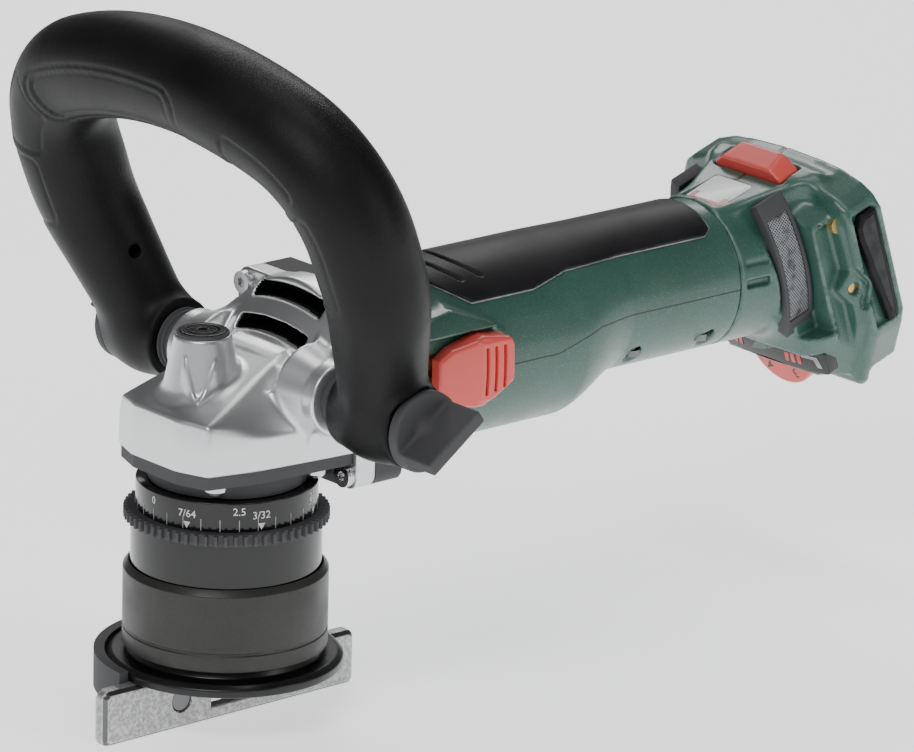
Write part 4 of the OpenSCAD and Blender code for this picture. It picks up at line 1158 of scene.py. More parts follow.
@dataclass
class GearHead:
    """The blasted gear housing, its screw seats, the spindle lock and the handle's hubs."""

    motor_z: float = 84.0
    head_z: float = 67.5
    nose: float = 28.6
    half: float = 29.0
    back: float = 34.0
    flange_x: float = 26.5
    flange_half: float = 28.8
    arch_r: float = 31.2
    lock_x: float = 10.0
    button_z: float = 105.8
    planes: list[tuple[Vector, float]] = field(default_factory=list)

    def __post_init__(self) -> None:
        """Finds the flat sides of the head's block."""
        n, h = self.nose, self.half
        plan = [(-n, 10.6), (3.9 - n, 21.5), (9.3 - n, 22.8), (20.3 - n, h - 3.5), (28.5, h)]
        wall = self.head_z + 10.9
        brow = wall + 4.5
        pts = [(x, s * y, z) for x, y in plan for s in (-1, 1) for z in (self.head_z, wall)]
        ridge = [(-n + 0.6, 10.8, brow + 0.7), (4.4 - n, 20.9, brow), (28.5, h - 5.5, brow + 6),
                 (2.1 - n, 11.0, brow + 1.1), (10.6, 12.0, brow + 15.1), (28.5, 12.0, brow + 15.1)]
        pts += [(x, s * y, z) for x, y, z in ridge for s in (-1, 1)]
        bm = bmesh.new()
        for p in pts:
            bm.verts.new(p)
        bmesh.ops.convex_hull(bm, input=bm.verts)
        bmesh.ops.recalc_face_normals(bm, faces=bm.faces)
        for f in bm.faces:
            plane = (f.normal.copy(), f.normal.dot(f.calc_center_median()))
            if all((plane[0] - q[0]).length > 0.02 or abs(plane[1] - q[1]) > 0.1 for q in self.planes):
                self.planes.append(plane)
        bm.free()

    def shape(self, x: Array, y: Array, z: Array) -> Array:
        """Distance to the housing casting.

        Args:
            x: X coordinates.
            y: Y coordinates.
            z: Z coordinates.

        Returns:
            The distance, negative inside.
        """
        d = np.float32(-1e3)
        for normal, offset in self.planes:
            d = soft_max(d, normal.x * x + normal.y * y + normal.z * z - offset, 0.8)
        up = z - self.motor_z
        crown = self.crown(y)
        roof = self.head_z + 30.5
        side = outline_field(x, z - crown, [
            (7.6, roof - 26), (7.6, roof - 4), (13.1, roof - 2), (16.8, roof + 3.4), (21.6, roof + 9.4),
            (24.8, roof + 13.2), (27.6, 124.0), (self.back, 124.0), (self.back, roof - 26)])
        arch = soft_max(np.sqrt(y * y + up * up) - self.arch_r, side, 1.2)
        d = soft_min(d, arch, 2.0)
        cone_r = 12.8 - (z - self.motor_z) * 4.3 / 20.6
        cone = soft_max(np.sqrt((x + self.lock_x) ** 2 + y * y) - cone_r, z - self.button_z + 1.2, 0.8)
        d = soft_min(d, soft_max(cone, self.motor_z - z, 1.0), 3.0)
        for s in (-1, 1):
            reach = s * y
            p = np.sqrt((x - 15.0) ** 2 + (z - 88.0) ** 2)
            boss = soft_max(p - 11.4 - np.maximum(0, 30.0 - reach) * 0.3, reach - 34.8, 1.0)
            d = soft_min(d, soft_max(boss, 20.0 - reach, 1.0), 2.5)
        qy, qz = np.abs(y) - self.flange_half + 4.4, np.abs(up) - self.flange_half + 4.4
        square = np.sqrt(np.maximum(qy, 0) ** 2 + np.maximum(qz, 0) ** 2) + np.minimum(np.maximum(qy, qz),
                                                                                       0) - 4.4
        flange = soft_max(soft_max(square, x - self.back, 0.6), self.flange_x - x, 0.6)
        d = soft_min(d, flange, 1.2)
        d = carve(d, self.louvres(x, y, z), 0.5)
        d = carve(d, drum_field(x + self.lock_x, y, z, 7.1, 97.0, 120.0), 0.3)
        d = carve(d, drum_field(x, y, z, 21.4, 60.0, 82.0), 0.3)
        d = carve(d, drum_field(x, y, z, 28.1, 40.0, 58.6), 0.3)
        d = carve(d, drum_field(y, up, x, 25.4, 29.5, 60.0), 0.3)
        for sy in (-1, 1):
            for sz in (-1, 1):
                hole = drum_field(y - sy * 24.4, up - sz * 24.4, x, 2.2, 0.0, 60.0)
                seat = drum_field(y - sy * 24.4, up - sz * 24.4, x, 3.9, 0.0, self.flange_x)
                d = carve(carve(d, hole, 0.3), seat, 0.4)
        mark = np.minimum(
            box_field(x, y, z, (-20.4, -10.0, 60.0), (-19.3, -3.0, 120.0)),
            box_field(x, y, z, (-20.4, -10.6, 60.0), (-12.6, -9.5, 120.0)))
        return np.where(z > 83, d - 0.5 * np.clip(0.5 - mark * 1.4, 0, 1), d)

    def crown(self, y: Array) -> Array:
        """Rise of the louvres' edges towards the middle."""
        return 1.9 * (1 - np.minimum(np.abs(y) / 15.8, 1.5) ** 2)

    def louvres(self, x: Array, y: Array, z: Array) -> Array:
        """Distance to the two air slots."""
        level = z - self.crown(y)
        roof = self.head_z + 30.5
        low = box_field(x, y, level, (10.0, -15.8, roof - 0.2), (self.back - 2, 15.8, roof + 4.0), 0.6)
        high = box_field(x, y, level, (16.0, -15.8, roof + 8.8), (self.back - 2, 15.8, roof + 13.0), 0.6)
        return np.minimum(low, high)

    def build(self) -> None:
        """Builds the casting, the lock collar, the button and the hubs."""
        skin = Sculptor(0.62).skin("gear_casting", self.shape, (-30.5, -37, 54), (35, 37, 117))
        # The louvre slots' deep faces get the second material: near black painted shade standing in for the
        # shaded hollow behind the slots.
        dress(skin, Finishes.CAST).data.materials.append(Finishes.SLOT_SHADE.material())
        paint(skin, lambda x, y, z: (self.louvres(x, y, z) < 0.25) & (x > 14.2 + (z - 96.0) * 0.72), 1)
        mount(skin, "tool_body", "cast_housing", "gear_housing")
        collar = Lathe((-self.lock_x, 0, 0)).turn("lock_collar", rounded_profile([
            (7.05, self.button_z - 4.0), (8.0, self.button_z - 4.0), (8.0, self.button_z - 0.5),
            (7.5, self.button_z - 0.1), (7.05, self.button_z - 0.4)], 0.2))
        mount(dress(collar, Finishes.BLACK), "tool_body", "black_plastic")
        button = Lathe((-self.lock_x, 0, 0)).turn("lock_cap", rounded_profile([
            (0, self.button_z - 4.4), (7.0, self.button_z - 4.4), (7.0, self.button_z + 0.05),
            (5.3, self.button_z),
            (5.1, self.button_z - 0.5), (4.4, self.button_z - 0.5), (4.2, self.button_z),
            (1.6, self.button_z),
            (1.4, self.button_z - 0.8), (0, self.button_z - 0.8)], 0.25))
        mount(dress(button, Finishes.GLOSS), "lock_group", "black_satin")
        for side in Side:
            self._hub(side)

    def _hub(self, side: Side) -> None:
        """Builds one ribbed hub.

        Args:
            side: Which side it is on.
        """
        profile = [(4.06, 35.1), (8.2, 35.1)]
        for i in range(4):
            y = 35.4 + i * 1.45
            r = 8.7 + 0.5 * i
            profile += [(r - 0.5, y), (r, y + 0.15), (r, y + 0.95), (r - 0.5, y + 1.1)]
        profile += [(8.4, 41.2), (4.06, 41.2)]
        lathe = Lathe((15, 0, 88), (0, side.value, 0), 96)
        hub = lathe.turn(f"{side.name.lower()}_ribbed_hub", rounded_profile(profile, 0.12, 2))
        mount(dress(hub, Finishes.BLACK), "tool_body", "black_plastic", f"{side.name.lower()}_hub")


@dataclass
class MotorHousing:
    """The green shells with their rubber inlay and the slide switch."""

    motor_z: float = 84.0
    motor_r: float = 28.6
    grip_r: float = 23.7
    front: float = 44.5
    taper: tuple[float, float] = (119.5, 142.0)
    end: float = 187.0
    switch_x: float = 70.0
    switch_z: float = 86.0

    def radius(self, x: Array) -> Array:
        """Radius of the housing at each X."""
        t = np.clip((x - self.taper[0]) / (self.taper[1] - self.taper[0]), 0, 1)
        return self.motor_r + (self.grip_r - self.motor_r) * (0.45 * t + 0.55 * t * t * (3 - 2 * t))

    def body(self, x: Array, y: Array, z: Array) -> Array:
        """Distance to the round body, top line level, ends open."""
        r = self.radius(x)
        return np.sqrt(y * y + (z - (self.motor_z + self.motor_r - r)) ** 2) - r

    def shape(self, x: Array, y: Array, z: Array) -> Array:
        """Distance to both shells with the switch's hood and land.

        Args:
            x: X coordinates.
            y: Y coordinates.
            z: Z coordinates.

        Returns:
            The distance, negative inside.
        """
        body = self.body(x, y, z)
        d = soft_max(soft_max(body, x - self.end, 0.8), self.front - x, 0.5)
        hood = outline_field(x, z, [(45, 94.5), (50, 99.8), (57, 103.6), (65, 104.6), (80, 98.6),
                                    (83.5, 94.6), (70, 97.6), (58, 94.6), (46, 90)])
        hood = slab_field(hood, -y, 18.0, 32.4, 1.2)
        d = soft_min(d, soft_max(hood, body - 4.6, 1.0), 3.0)
        land = box_field(x, y, z, (47.0, -50, 74.4), (84.6, -27.0, 97.6), 2.0)
        d = carve(d, land, 0.8)
        slot = box_field(x, y, z, (47.5, -50, 79.8), (80.5, -20.0, 92.2), 0.5)
        d = carve(d, slot, 0.4)
        hollow = soft_max(body + 2.6, x - self.end + 5, 0.5)
        d = carve(d, hollow, 0.3)
        for x0 in (147.0, 178.0):
            d = carve(d, drum_field(x - x0, y + 17.1, z, 2.8, 40.0, 84.0), 0.5)
        return carve(d, soft_max(self.inlay(x, y, z, 0.0), body - 1.2, 0.2), 0.3)

    def inlay(self, x: Array, y: Array, z: Array, grow: float) -> Array:
        """Distance to the inlay's outline, seen from the side."""
        side = outline_field(x, z, [
            (63, 116), (66.5, 109.3), (77, 103.2), (102, 103.2), (117.5, 105.9), (177, 105.9),
            (180.5, 107.5), (181.6, 116)])
        return side - grow

    def pad(self, x: Array, y: Array, z: Array) -> Array:
        """Distance to the rubber pad itself."""
        body = self.body(x, y, z)
        d = soft_max(self.inlay(x, y, z, -0.45), body - 1.0, 0.9)
        d = soft_max(d, -(body + 1.1), 0.1)
        for x0 in (70.0, 78.0):
            curve = x - x0 - 0.035 * y * y - (z - 110) * 0.5
            groove = soft_max(np.abs(curve) - 0.9, np.abs(y) - 15.5, 1.0)
            d = carve(d, soft_max(groove, -(body + 0.1), 0.3), 0.5)
        return d

    def lip(self, x: Array, y: Array, z: Array) -> Array:
        """Distance to the thin lip under the pad's edge, which is coloured pale as a painted highlight."""
        body = self.body(x, y, z)
        d = soft_max(self.inlay(x, y, z, -0.02), body - 0.25, 0.1)
        return soft_max(soft_max(d, -(body + 1.2), 0.1), -(self.inlay(x, y, z, -1.0)), 0.1)

    def build(self) -> None:
        """Builds the shells, the pad, its lip and the switch."""
        skin = Sculptor(0.78).skin("housing_shells", self.shape, (43, -36, 53), (188.5, 31, 115))
        mount(dress(skin, Finishes.GREEN), "tool_body", "green_plastic", "upper_shell", "lower_shell")
        pad = Sculptor(0.5).skin("grip_pad", self.pad, (60, -30, 99), (183, 30, 115))
        mount(dress(pad, Finishes.RUBBER_PAD), "tool_body", "rubber_grip", "softgrip")
        # The pale lip is a painted highlight along the pad's edge.
        lip = Sculptor(0.5).skin("pad_lip_highlight", self.lip, (60, -30, 99), (183, 30, 115))
        mount(dress(lip, Finishes.PAD_LIP_HIGHLIGHT), "tool_body", "rubber_grip")
        SlideSwitch(self.switch_x, self.switch_z).build()


@dataclass
class SlideSwitch:
    """The red slide switch with three finger ribs."""

    x: float
    z: float
    length: float = 27.0
    height: float = 22.0
    out: float = 35.0

    def shape(self, x: Array, y: Array, z: Array) -> Array:
        """Distance to the switch cap.

        Args:
            x: X coordinates.
            y: Y coordinates.
            z: Z coordinates.

        Returns:
            The distance, negative inside.
        """
        u, v = x - self.x, z - self.z
        a, b = self.length / 2, self.height / 2
        side = outline_field(u, v, [
            (-a, -b + 6), (-a + 4, -b + 1.5), (-a + 12, -b), (2, -b), (a, -b + 7), (a, b - 4),
            (a - 2, b - 1.5),
            (2, b), (-a + 4, b - 3), (-a, b - 6)])
        top = -y - self.out + 0.006 * v ** 2 + 0.3 * np.maximum(0, -u - 1.0)
        d = soft_max(soft_max(side, top, 1.4), y + 27.2, 0.4)
        block_edge = np.abs(u - 6.2) - 6.6
        d = d - 0.35 * np.clip(0.5 - soft_max(block_edge, np.abs(v) - 9.2, 1.0) / 0.8, 0, 1)
        for i in range(3):
            groove = box_field(u - 2.2 - i * 3.5, -y - self.out, v, (-0.55, -1.6, -7.4 + i * 0.7),
                               (0.55, 3.0, 7.4), 0.2)
            d = carve(d, groove, 0.5)
        return d

    def build(self) -> None:
        """Builds the switch cap."""
        skin = Sculptor(0.3).skin("switch_cap", self.shape, (55, -37, 73), (85, -26, 99))
        mount(dress(skin, Finishes.RED), "switch_group", "red_plastic", "slide_switch")


@dataclass
class DepthAdjuster:
    """Scale drum, knurled ring, ring sleeve, guide sleeve and guide plate."""

    drum_r: float = 27.5
    knurl_r: float = 31.1
    sleeve_r: float = 31.1
    inner_r: float = 28.9
    plate_r: float = 36.0
    plate_t: float = 3.7
    teeth: int = 64
    zero: float = 178.9
    levels: tuple[float, ...] = (24.0, 45.6, 49.2, 58.3)

    def build(self) -> None:
        """Builds the turned pieces, the knurl and the print."""
        low, k0, k1, top = self.levels
        lathe = Lathe()
        drum = lathe.turn("scale_drum_skin", rounded_profile([
            (21.3, k1), (self.drum_r, k1), (self.drum_r, top), (21.3, top)], 0.45))
        mount(dress(drum, Finishes.GLOSS), "ring_group", "black_satin", "scale_drum")
        band = lathe.turn("ring_sleeve_skin", rounded_profile([
            (21.3, low), (self.inner_r, low), (self.inner_r, k0), (21.3, k0)], 0.3))
        mount(dress(band, Finishes.GLOSS), "ring_group", "black_satin", "ring_sleeve")
        mount(dress(self._knurl(k0, k1), Finishes.BLACK), "ring_group", "black_satin", "knurled_ring")
        sleeve = lathe.turn("guide_sleeve_skin", rounded_profile([
            (21.05, 6.3), (self.sleeve_r, 6.3), (self.sleeve_r, 11.2), (self.sleeve_r - 0.3, 11.5),
            (self.sleeve_r - 0.3, 12.0), (self.sleeve_r, 12.3), (self.sleeve_r, 30.0), (29.5, 31.9),
            (29.2, 31.9),
            (29.2, 20.2), (21.05, 20.2)], 0.3))
        mount(dress(sleeve, Finishes.SLEEVE), "guide_group", "sleeve_metal", "guide_sleeve")
        plate = lathe.turn("guide_plate_skin", rounded_profile([
            (19.0, 0.0), (self.plate_r, 0.0), (self.plate_r, self.plate_t - 1.3),
            (self.plate_r - 1.8, self.plate_t),
            (29.6, self.plate_t), (28.6, 6.3), (19.0, 6.3)], 0.5))
        mount(dress(plate, Finishes.PLATE), "guide_group", "black_satin", "guide_plate")
        mount(self._print(k1), "ring_group", "black_satin")

    def _print(self, low: float) -> bpy.types.Object:
        """The scale's ticks, arrows and numbers, in tenths of a millimetre and in sixty-fourths of an inch.

        Args:
            low: The drum's lower edge.

        Returns:
            The printed marks.
        """
        r = self.drum_r + 0.03

        def wrap(angle: float) -> Callable[[float, float, float], Point]:
            """A place on the drum's skin, by run round it, height and depth."""
            def place(u: float, v: float, h: float) -> Point:
                """Row place of a point of the print."""
                a = math.radians(angle) + u / r
                return ((r + h) * math.cos(a), (r + h) * math.sin(a), low + v)
            return place

        tick = prism("scale_tick", [(-0.12, 0.3), (0.12, 0.3), (0.12, 3.9), (-0.12, 3.9)], wrap(self.zero),
                     -0.05, 0.05, 0.0)
        parts = [Repeater("scale_ticks").around(tick, 30, Finishes.PRINT_GREY)]
        for i in range(6):
            parts.append(lettering(f"{i * 0.5:.1f}" if i else "0", 2.3, wrap(self.zero - 60.0 * i),
                                   (0, 6.4), Finishes.PRINT))
        for i in range(1, 8):
            top = next(n for n in (64, 32, 16) if i * n // 64 * 64 == i * n and (i * n // 64) % 2)
            place = wrap(self.zero - 360.0 * i * 25.4 / 64 / 3.0)
            parts.append(lettering(f"{i * top // 64}/{top}", 2.3, place, (0, 5.0), Finishes.PRINT))
            arrow = prism("scale_arrow", [(0, 0.5), (1.1, 2.6), (-1.1, 2.6)], place, -0.05, 0.05, 0.0)
            parts.append(dress(arrow, Finishes.PRINT))
        return join("scale_print", parts)

    def _knurl(self, low: float, high: float) -> bpy.types.Object:
        """The toothed ring.

        Args:
            low: Its lower face.
            high: Its upper face.

        Returns:
            The ring.
        """
        core = Lathe().turn("knurl_core", rounded_profile([
            (21.3, low), (self.knurl_r - 1.2, low), (self.knurl_r - 1.2, high), (21.3, high)], 0.3))
        tooth = prism("knurl_tooth", [(self.knurl_r - 1.6, -0.75), (self.knurl_r, -0.5),
                                      (self.knurl_r, 0.5), (self.knurl_r - 1.6, 0.75)],
                      lambda u, v, h: (u, v, h), low + 0.15, high - 0.15, 0.2)
        teeth = Repeater("knurl_teeth").around(tooth, self.teeth, Finishes.BLACK)
        dress(core, Finishes.BLACK)
        return join("knurled_ring_skin", [core, teeth])


@dataclass
class Repeater:
    """Repeats a mesh with a node tree and bakes the result.

    Args:
        name: Name of the baked piece.
    """

    name: str

    def around(self, source: bpy.types.Object, count: int, finish: Finish, centre: Point = (0, 0, 0),
               turn: float = 360.0) -> bpy.types.Object:
        """Repeats a mesh round the Z axis.

        Args:
            source: The mesh, drawn in its first place; it is removed.
            count: How many.
            finish: Finish of the copies.
            centre: A point on the axis, in metres.
            turn: Angle that the copies cover, in degrees.

        Returns:
            The baked piece.
        """
        tree = bpy.data.node_groups.new(self.name + "_tree", "GeometryNodeTree")
        face = tree.interface
        face.new_socket("Geometry", in_out="INPUT", socket_type="NodeSocketGeometry")
        count_in = face.new_socket("Count", in_out="INPUT", socket_type="NodeSocketInt")
        step_in = face.new_socket("Step", in_out="INPUT", socket_type="NodeSocketFloat")
        face.new_socket("Geometry", in_out="OUTPUT", socket_type="NodeSocketGeometry")
        new, link = tree.nodes.new, tree.links.new
        start, end = new("NodeGroupInput"), new("NodeGroupOutput")
        line = new("GeometryNodeMeshLine")
        line.inputs["Offset"].default_value = (0, 0, 0)
        link(start.outputs["Count"], line.inputs["Count"])
        line.inputs["Start Location"].default_value = centre
        index, angle, turner = new("GeometryNodeInputIndex"), new("ShaderNodeMath"), new("ShaderNodeCombineXYZ")
        angle.operation = "MULTIPLY"
        link(index.outputs[0], angle.inputs[0])
        link(start.outputs["Step"], angle.inputs[1])
        link(angle.outputs[0], turner.inputs[2])
        spread = new("GeometryNodeInstanceOnPoints")
        link(line.outputs[0], spread.inputs["Points"])
        link(start.outputs["Geometry"], spread.inputs["Instance"])
        link(turner.outputs[0], spread.inputs["Rotation"])
        real, paint = new("GeometryNodeRealizeInstances"), new("GeometryNodeSetMaterial")
        paint.inputs["Material"].default_value = finish.material()
        link(spread.outputs[0], real.inputs[0])
        link(real.outputs[0], paint.inputs["Geometry"])
        link(paint.outputs[0], end.inputs[0])
        return self.bake(source, tree, {count_in.identifier: count,
                                        step_in.identifier: math.radians(turn / count)})

    def bake(self, source: bpy.types.Object, tree: bpy.types.NodeTree,
             inputs: dict[str, object]) -> bpy.types.Object:
        """Runs a tree on a mesh and keeps the plain result.

        Args:
            source: The mesh; it is removed.
            tree: The node tree.
            inputs: Values by socket identifier.

        Returns:
            The baked piece.
        """
        mod = source.modifiers.new("repeat", "NODES")
        mod.node_group = tree
        for key, value in inputs.items():
            mod[key] = value
        deps = bpy.context.evaluated_depsgraph_get()
        mesh = bpy.data.meshes.new_from_object(source.evaluated_get(deps))
        source.modifiers.remove(mod)
        bpy.data.objects.remove(source)
        obj = bpy.data.objects.new(self.name, mesh)
        bpy.context.scene.collection.objects.link(obj)
        return obj


@dataclass
class BatteryFoot:
    """The turning battery foot with its filters, label, strip, dial and release button."""

    turn_x: float = 187.3
    neck_r: float = 23.7
    face_x: float = 239.3
    axis_z: float = 88.9
    slope: float = 18.7
    top: float = 36.6
    low: float = 38.9
    half: float = 39.5
    depth: float = 14.0
    strip_bow: float = 0.0035
    dial_u: float = -20.4
    dial_v: float = -24.3

    def local(self, x: Array, z: Array) -> tuple[Array, Array]:
        """Depth from the battery face and height up it, for row X and Z."""
        t = math.radians(self.slope)
        dx, dz = x - self.face_x, z - self.axis_z
        return dx * math.cos(t) + dz * math.sin(t), -dx * math.sin(t) + dz * math.cos(t)

    def world(self, u: float, y: float, v: float) -> Point:
        """Row place of a point given by depth, Y and height up the face."""
        t = math.radians(self.slope)
        return (self.face_x + u * math.cos(t) - v * math.sin(t), y,
                self.axis_z + u * math.sin(t) + v * math.cos(t))

    def outline(self) -> list[tuple[float, float]]:
        """Shield outline of the face: height and Y."""
        t, h, b = self.top, self.half, self.low
        half = [(t, 0), (t - 0.6, h - 25), (t - 1.9, h - 15), (t - 4.8, h - 6.5), (t - 7.6, h - 2.5),
                (t - 12, h),
                (26 - b, h), (21 - b, h - 2), (2 - b, h - 12), (-b, h - 14)]
        return half + [(a, -y) for a, y in reversed(half) if y > 0]

    def shape(self, x: Array, y: Array, z: Array) -> Array:
        """Distance to the foot's shells.

        Args:
            x: X coordinates.
            y: Y coordinates.
            z: Z coordinates.

        Returns:
            The distance, negative inside.
        """
        u, v = self.local(x, z)
        shield = outline_field(v, y, self.outline())
        slab = soft_max(soft_max(shield, u, 1.2), -self.depth - u, 3.0)
        pull = np.clip((u + 42) / 34, 0, 1)
        flare = shield + 15.0 * (1 - pull) ** 1.1 + 2.4
        flare = soft_max(soft_max(flare, u + 8, 1.0), 186.0 - x, 1.0)
        neck = soft_max(np.sqrt(y * y + (z - self.axis_z) ** 2) - self.neck_r, self.turn_x - x, 0.8)
        neck = soft_max(neck, u + 6, 1.0)
        wide = 10.0 + 13.0 * np.clip((u + 42) / 32, 0, 1)
        deck = box_field(u, y, v, (-43.0, -60, 10.0), (-8.0, 60, 36.6), 1.5)
        deck = soft_max(soft_max(deck, np.abs(y) - wide, 3.0), self.turn_x + 1.0 - x, 1.0)
        body = soft_min(neck, soft_max(flare, -30.0 - u, 6.0), 7.0)
        d = soft_min(soft_min(slab, body, 2.0), deck, 5.0)
        d = carve(d, box_field(u - self.strip_bow * y * y, y, v, (-60, -26.4, -28.8), (-26.6, 26.4, -20.0),
                               0.5), 0.4)
        d = carve(d, box_field(u, y, v, (-11, -30, -60), (9, 30, 25.6), 1.0), 0.5)
        d = carve(d, drum_field(y, z - self.axis_z, x, 20.0, 180.0, 212.0), 0.3)
        for s in (-1, 1):
            side = s * y
            d = carve(d, box_field(u, side, v, (-12.2, self.half - 2.4, -14.4), (-2.4, 60, 26.4), 1.5), 0.5)
            web = outline_field(u, v, [(-21.4, 24), (-15.0, 25.5), (-14.5, 7), (-19.0, 1.5), (-15.5, -5),
                                       (-15.5, -24), (-21, -22), (-21.4, -4)])
            d = carve(d, slab_field(web, side, 29.5, 60.0, 0.6), 0.8)
            bay = box_field(u, side, v, (-34.4, 20.8, -13.0), (-21.6, 60.0, 38.8), 0.8)
            d = carve(d, bay, 0.6)
            well = np.abs(u + 13.6) / 4.4 + np.abs(v - 0.6) / 7.6 - 1
            d = carve(d, soft_max(well * 3.4, 35.2 - side, 0.3), 0.4)
            d = carve(d, drum_field(u + 14.0, v - 0.6, side, 1.9, 26.0, 60.0), 0.3)
            for z0 in (88.5, 95.3):
                d = carve(d, box_field(x, side, z, (189.7, 22.0, z0), (199.5, 32, z0 + 2.6), 0.4), 0.3)
        d = d + 0.45 * np.exp(-(y / 0.35) ** 2) * np.clip((v - 20) / 6, 0, 1)
        button = box_field(u, y, v, (-19.0, -15.6, 31.0), (-9.4, 15.6, 50), 1.0)
        d = carve(d, button, 0.5)
        label = box_field(u, y, v, (-39.8, -8.8, 36.2), (-23.6, 8.8, 50), 1.5)
        return carve(d, label, 0.3)

    def build(self) -> None:
        """Builds the shells and everything on them."""
        skin = Sculptor(0.85).skin("foot_shells", self.shape, (185, -43, 44), (254, 43, 129))
        mount(dress(skin, Finishes.GREEN_FOOT), "foot_group", "green_plastic", "left_foot_shell",
              "right_foot_shell")
        self._release()
        self._bumpers()
        self._label()
        self._strip()
        self._dial()
        for side in Side:
            self._filter(side)

    def _release(self) -> None:
        """Builds the release button."""

        def cap(x: Array, y: Array, z: Array) -> Array:
            """Distance to the button."""
            u, v = self.local(x, z)
            d = box_field(u, y, v, (-18.6, -15.0, 33.0), (-9.9, 15.0, 42.0), 0.9)
            d = soft_max(d, (v - 40.9) * 0.96 - (u + 14) * 0.16, 0.6)
            return soft_max(d, np.abs(y) * 0.6 + (v - 48.4) * 0.8, 0.6)

        skin = Sculptor(0.4).skin("release_cap", cap, (202, -17, 110), (226, 17, 131))
        mount(dress(skin, Finishes.RED), "release_group", "red_plastic", "release_button")

    def _bumpers(self) -> None:
        """Builds the rubber side pads."""
        outline = [(-11.6, 22.6), (-9.0, 25.8), (-3.0, 25.8), (-3.0, -11.6), (-5.0, -14.0), (-7.0, -14.0),
                   (-11.6, 18.0)]
        inlay = [(-10.2, 22.0), (-8.4, 24.2), (-4.6, 24.2), (-4.6, -9.6), (-5.6, -11.0), (-10.2, 18.4)]
        pads = []
        for side in Side:
            def place(u: float, v: float, h: float, s: int = side.value) -> Point:
                """Row place of a point on the pad."""
                return self.world(u, s * h, v)
            pad = prism(f"bumper_{side.name.lower()}", outline, place, self.half - 2.6, self.half + 0.6, 0.7)
            pads.append(dress(pad, Finishes.RUBBER))
            face = prism(f"inlay_{side.name.lower()}", inlay, place, self.half, self.half + 0.9, 0.3)
            pads.append(dress(face, Finishes.BUMPER))
        mount(join("bumper_pads", pads), "foot_group", "rubber_grip", "side_bumpers")

    def _label(self) -> None:
        """Builds the plain label with its bracket mark."""
        def place(u: float, v: float, h: float) -> Point:
            """Row place of a point on the label."""
            return self.world(-31.8 + u, v, 36.2 + h)
        plate = dress(prism("label_film_plate", rounded_outline(7.9, 8.5, 1.6), place, 0.0, 0.5, 0.15),
                      Finishes.LABEL)
        bracket = [(-6.8, 7.4), (-2.2, 7.4), (-2.2, 5.6), (-5.0, 5.6), (-5.0, -5.6), (-2.2, -5.6),
                   (-2.2, -7.4), (-6.8, -7.4)]
        mark = dress(prism("label_mark", bracket[::-1], place, 0.45, 0.56, 0.0), Finishes.LABEL_RED)
        mount(join("label_piece", [plate, mark]), "foot_group", "label_film", "label_plate")

    def _strip(self) -> None:
        """Builds the display strip with its bars."""
        def place(u: float, v: float, h: float) -> Point:
            """Row place: u runs along Y, v up the face, h forwards."""
            bow = self.strip_bow * u * u
            return self.world(-27.0 - h + bow, u, -24.4 + v)
        outline = rounded_outline(26.0, 4.0, 1.2)
        dense = []
        for (a, b), (c, d) in zip(outline, outline[1:] + outline[:1]):
            n = max(1, int(abs(c - a) / 2.0))
            dense += [(a + (c - a) * i / n, b + (d - b) * i / n) for i in range(n)]
        parts = [dress(prism("strip_base", dense, place, -4.0, 0.0, 0.3), Finishes.GLOSS)]
        for mid in (-15.0, 12.0):
            for i in range(3):
                y0 = mid + i * 2.6
                bar = [(y0, -1.9), (y0 + 1.6, -1.9), (y0 + 1.6, 1.7 - 0.2 * i), (y0, 1.7 - 0.2 * i)]
                parts.append(dress(prism("strip_bar", bar, place, -0.05, 0.08, 0.0), Finishes.LABEL_RED))
        corner = [(-15.4, 2.0), (-22.0, 2.0), (-23.4, -1.9), (-21.6, -1.9), (-20.4, 0.9), (-15.4, 0.9)]
        parts.append(dress(prism("strip_mark", corner, place, -0.05, 0.08, 0.0), Finishes.PRINT_GREY))
        mount(join("display_strip", parts), "foot_group", "black_satin", "indicator_strip")

    def _dial(self) -> None:
        """Builds the speed dial with its figures."""
        mid = self.world(self.dial_u, 0, self.dial_v)
        t = math.radians(self.slope)
        lathe = Lathe(mid, (math.cos(t), 0, math.sin(t)), 120)
        disc = lathe.turn("speed_dial_skin", rounded_profile([(0, -2), (14.6, -2), (15.2, -1.4),
                                                              (15.2, 1.4), (14.6, 2), (0, 2)], 0.3))
        parts = [dress(disc, Finishes.RED)]
        for i in range(6):
            turn = math.radians(60 * i + 30)

            def place(a: float, b: float, h: float, turn: float = turn) -> Point:
                """Row place of a point on the dial's face, turned to its number."""
                r = 11.6 + b
                side, up = -a * math.cos(turn) - r * math.sin(turn), -a * math.sin(turn) + r * math.cos(turn)
                return self.world(self.dial_u - 2.05 - h, side, up + self.dial_v)
            parts.append(lettering(str(i + 1), 3.4, place, (0, 0), Finishes.GLOSS))
        mount(join("speed_dial_piece", parts), "dial_group", "red_plastic", "speed_dial")

    def _filter(self, side: Side) -> None:
        """Builds one dust filter: a bowed frame with wire cloth.

        Args:
            side: Which side it is on.
        """
        r, y0, mid_v = 58.0, 25.0, 13.0
        s = side.value

        def arc(u: float, v: float, h: float) -> Point:
            """Row place: u is depth, v runs up the strap, h outwards."""
            a = (v - mid_v) / r
            rr = r + h
            return self.world(u, s * (y0 - r + rr * math.cos(a)), mid_v + rr * math.sin(a))

        def ring(name: str, half_u: float, half_v: float, low: float, high: float, finish: Finish,
                 cut: Optional[tuple[float, float]]) -> bpy.types.Object:
            """A bowed plate, with a window if cut gives its half sizes."""
            bm = bmesh.new()
            nu, nv = 8, 40
            us = [-half_u + 2 * half_u * i / nu for i in range(nu + 1)]
            vs = [-half_v + 2 * half_v * j / nv for j in range(nv + 1)]
            verts = {}
            for i, a in enumerate(us):
                for j, b in enumerate(vs):
                    for k, h in enumerate((low, high)):
                        verts[i, j, k] = bm.verts.new(Vector(arc(-27.9 + a, mid_v + b, h)) * MM)

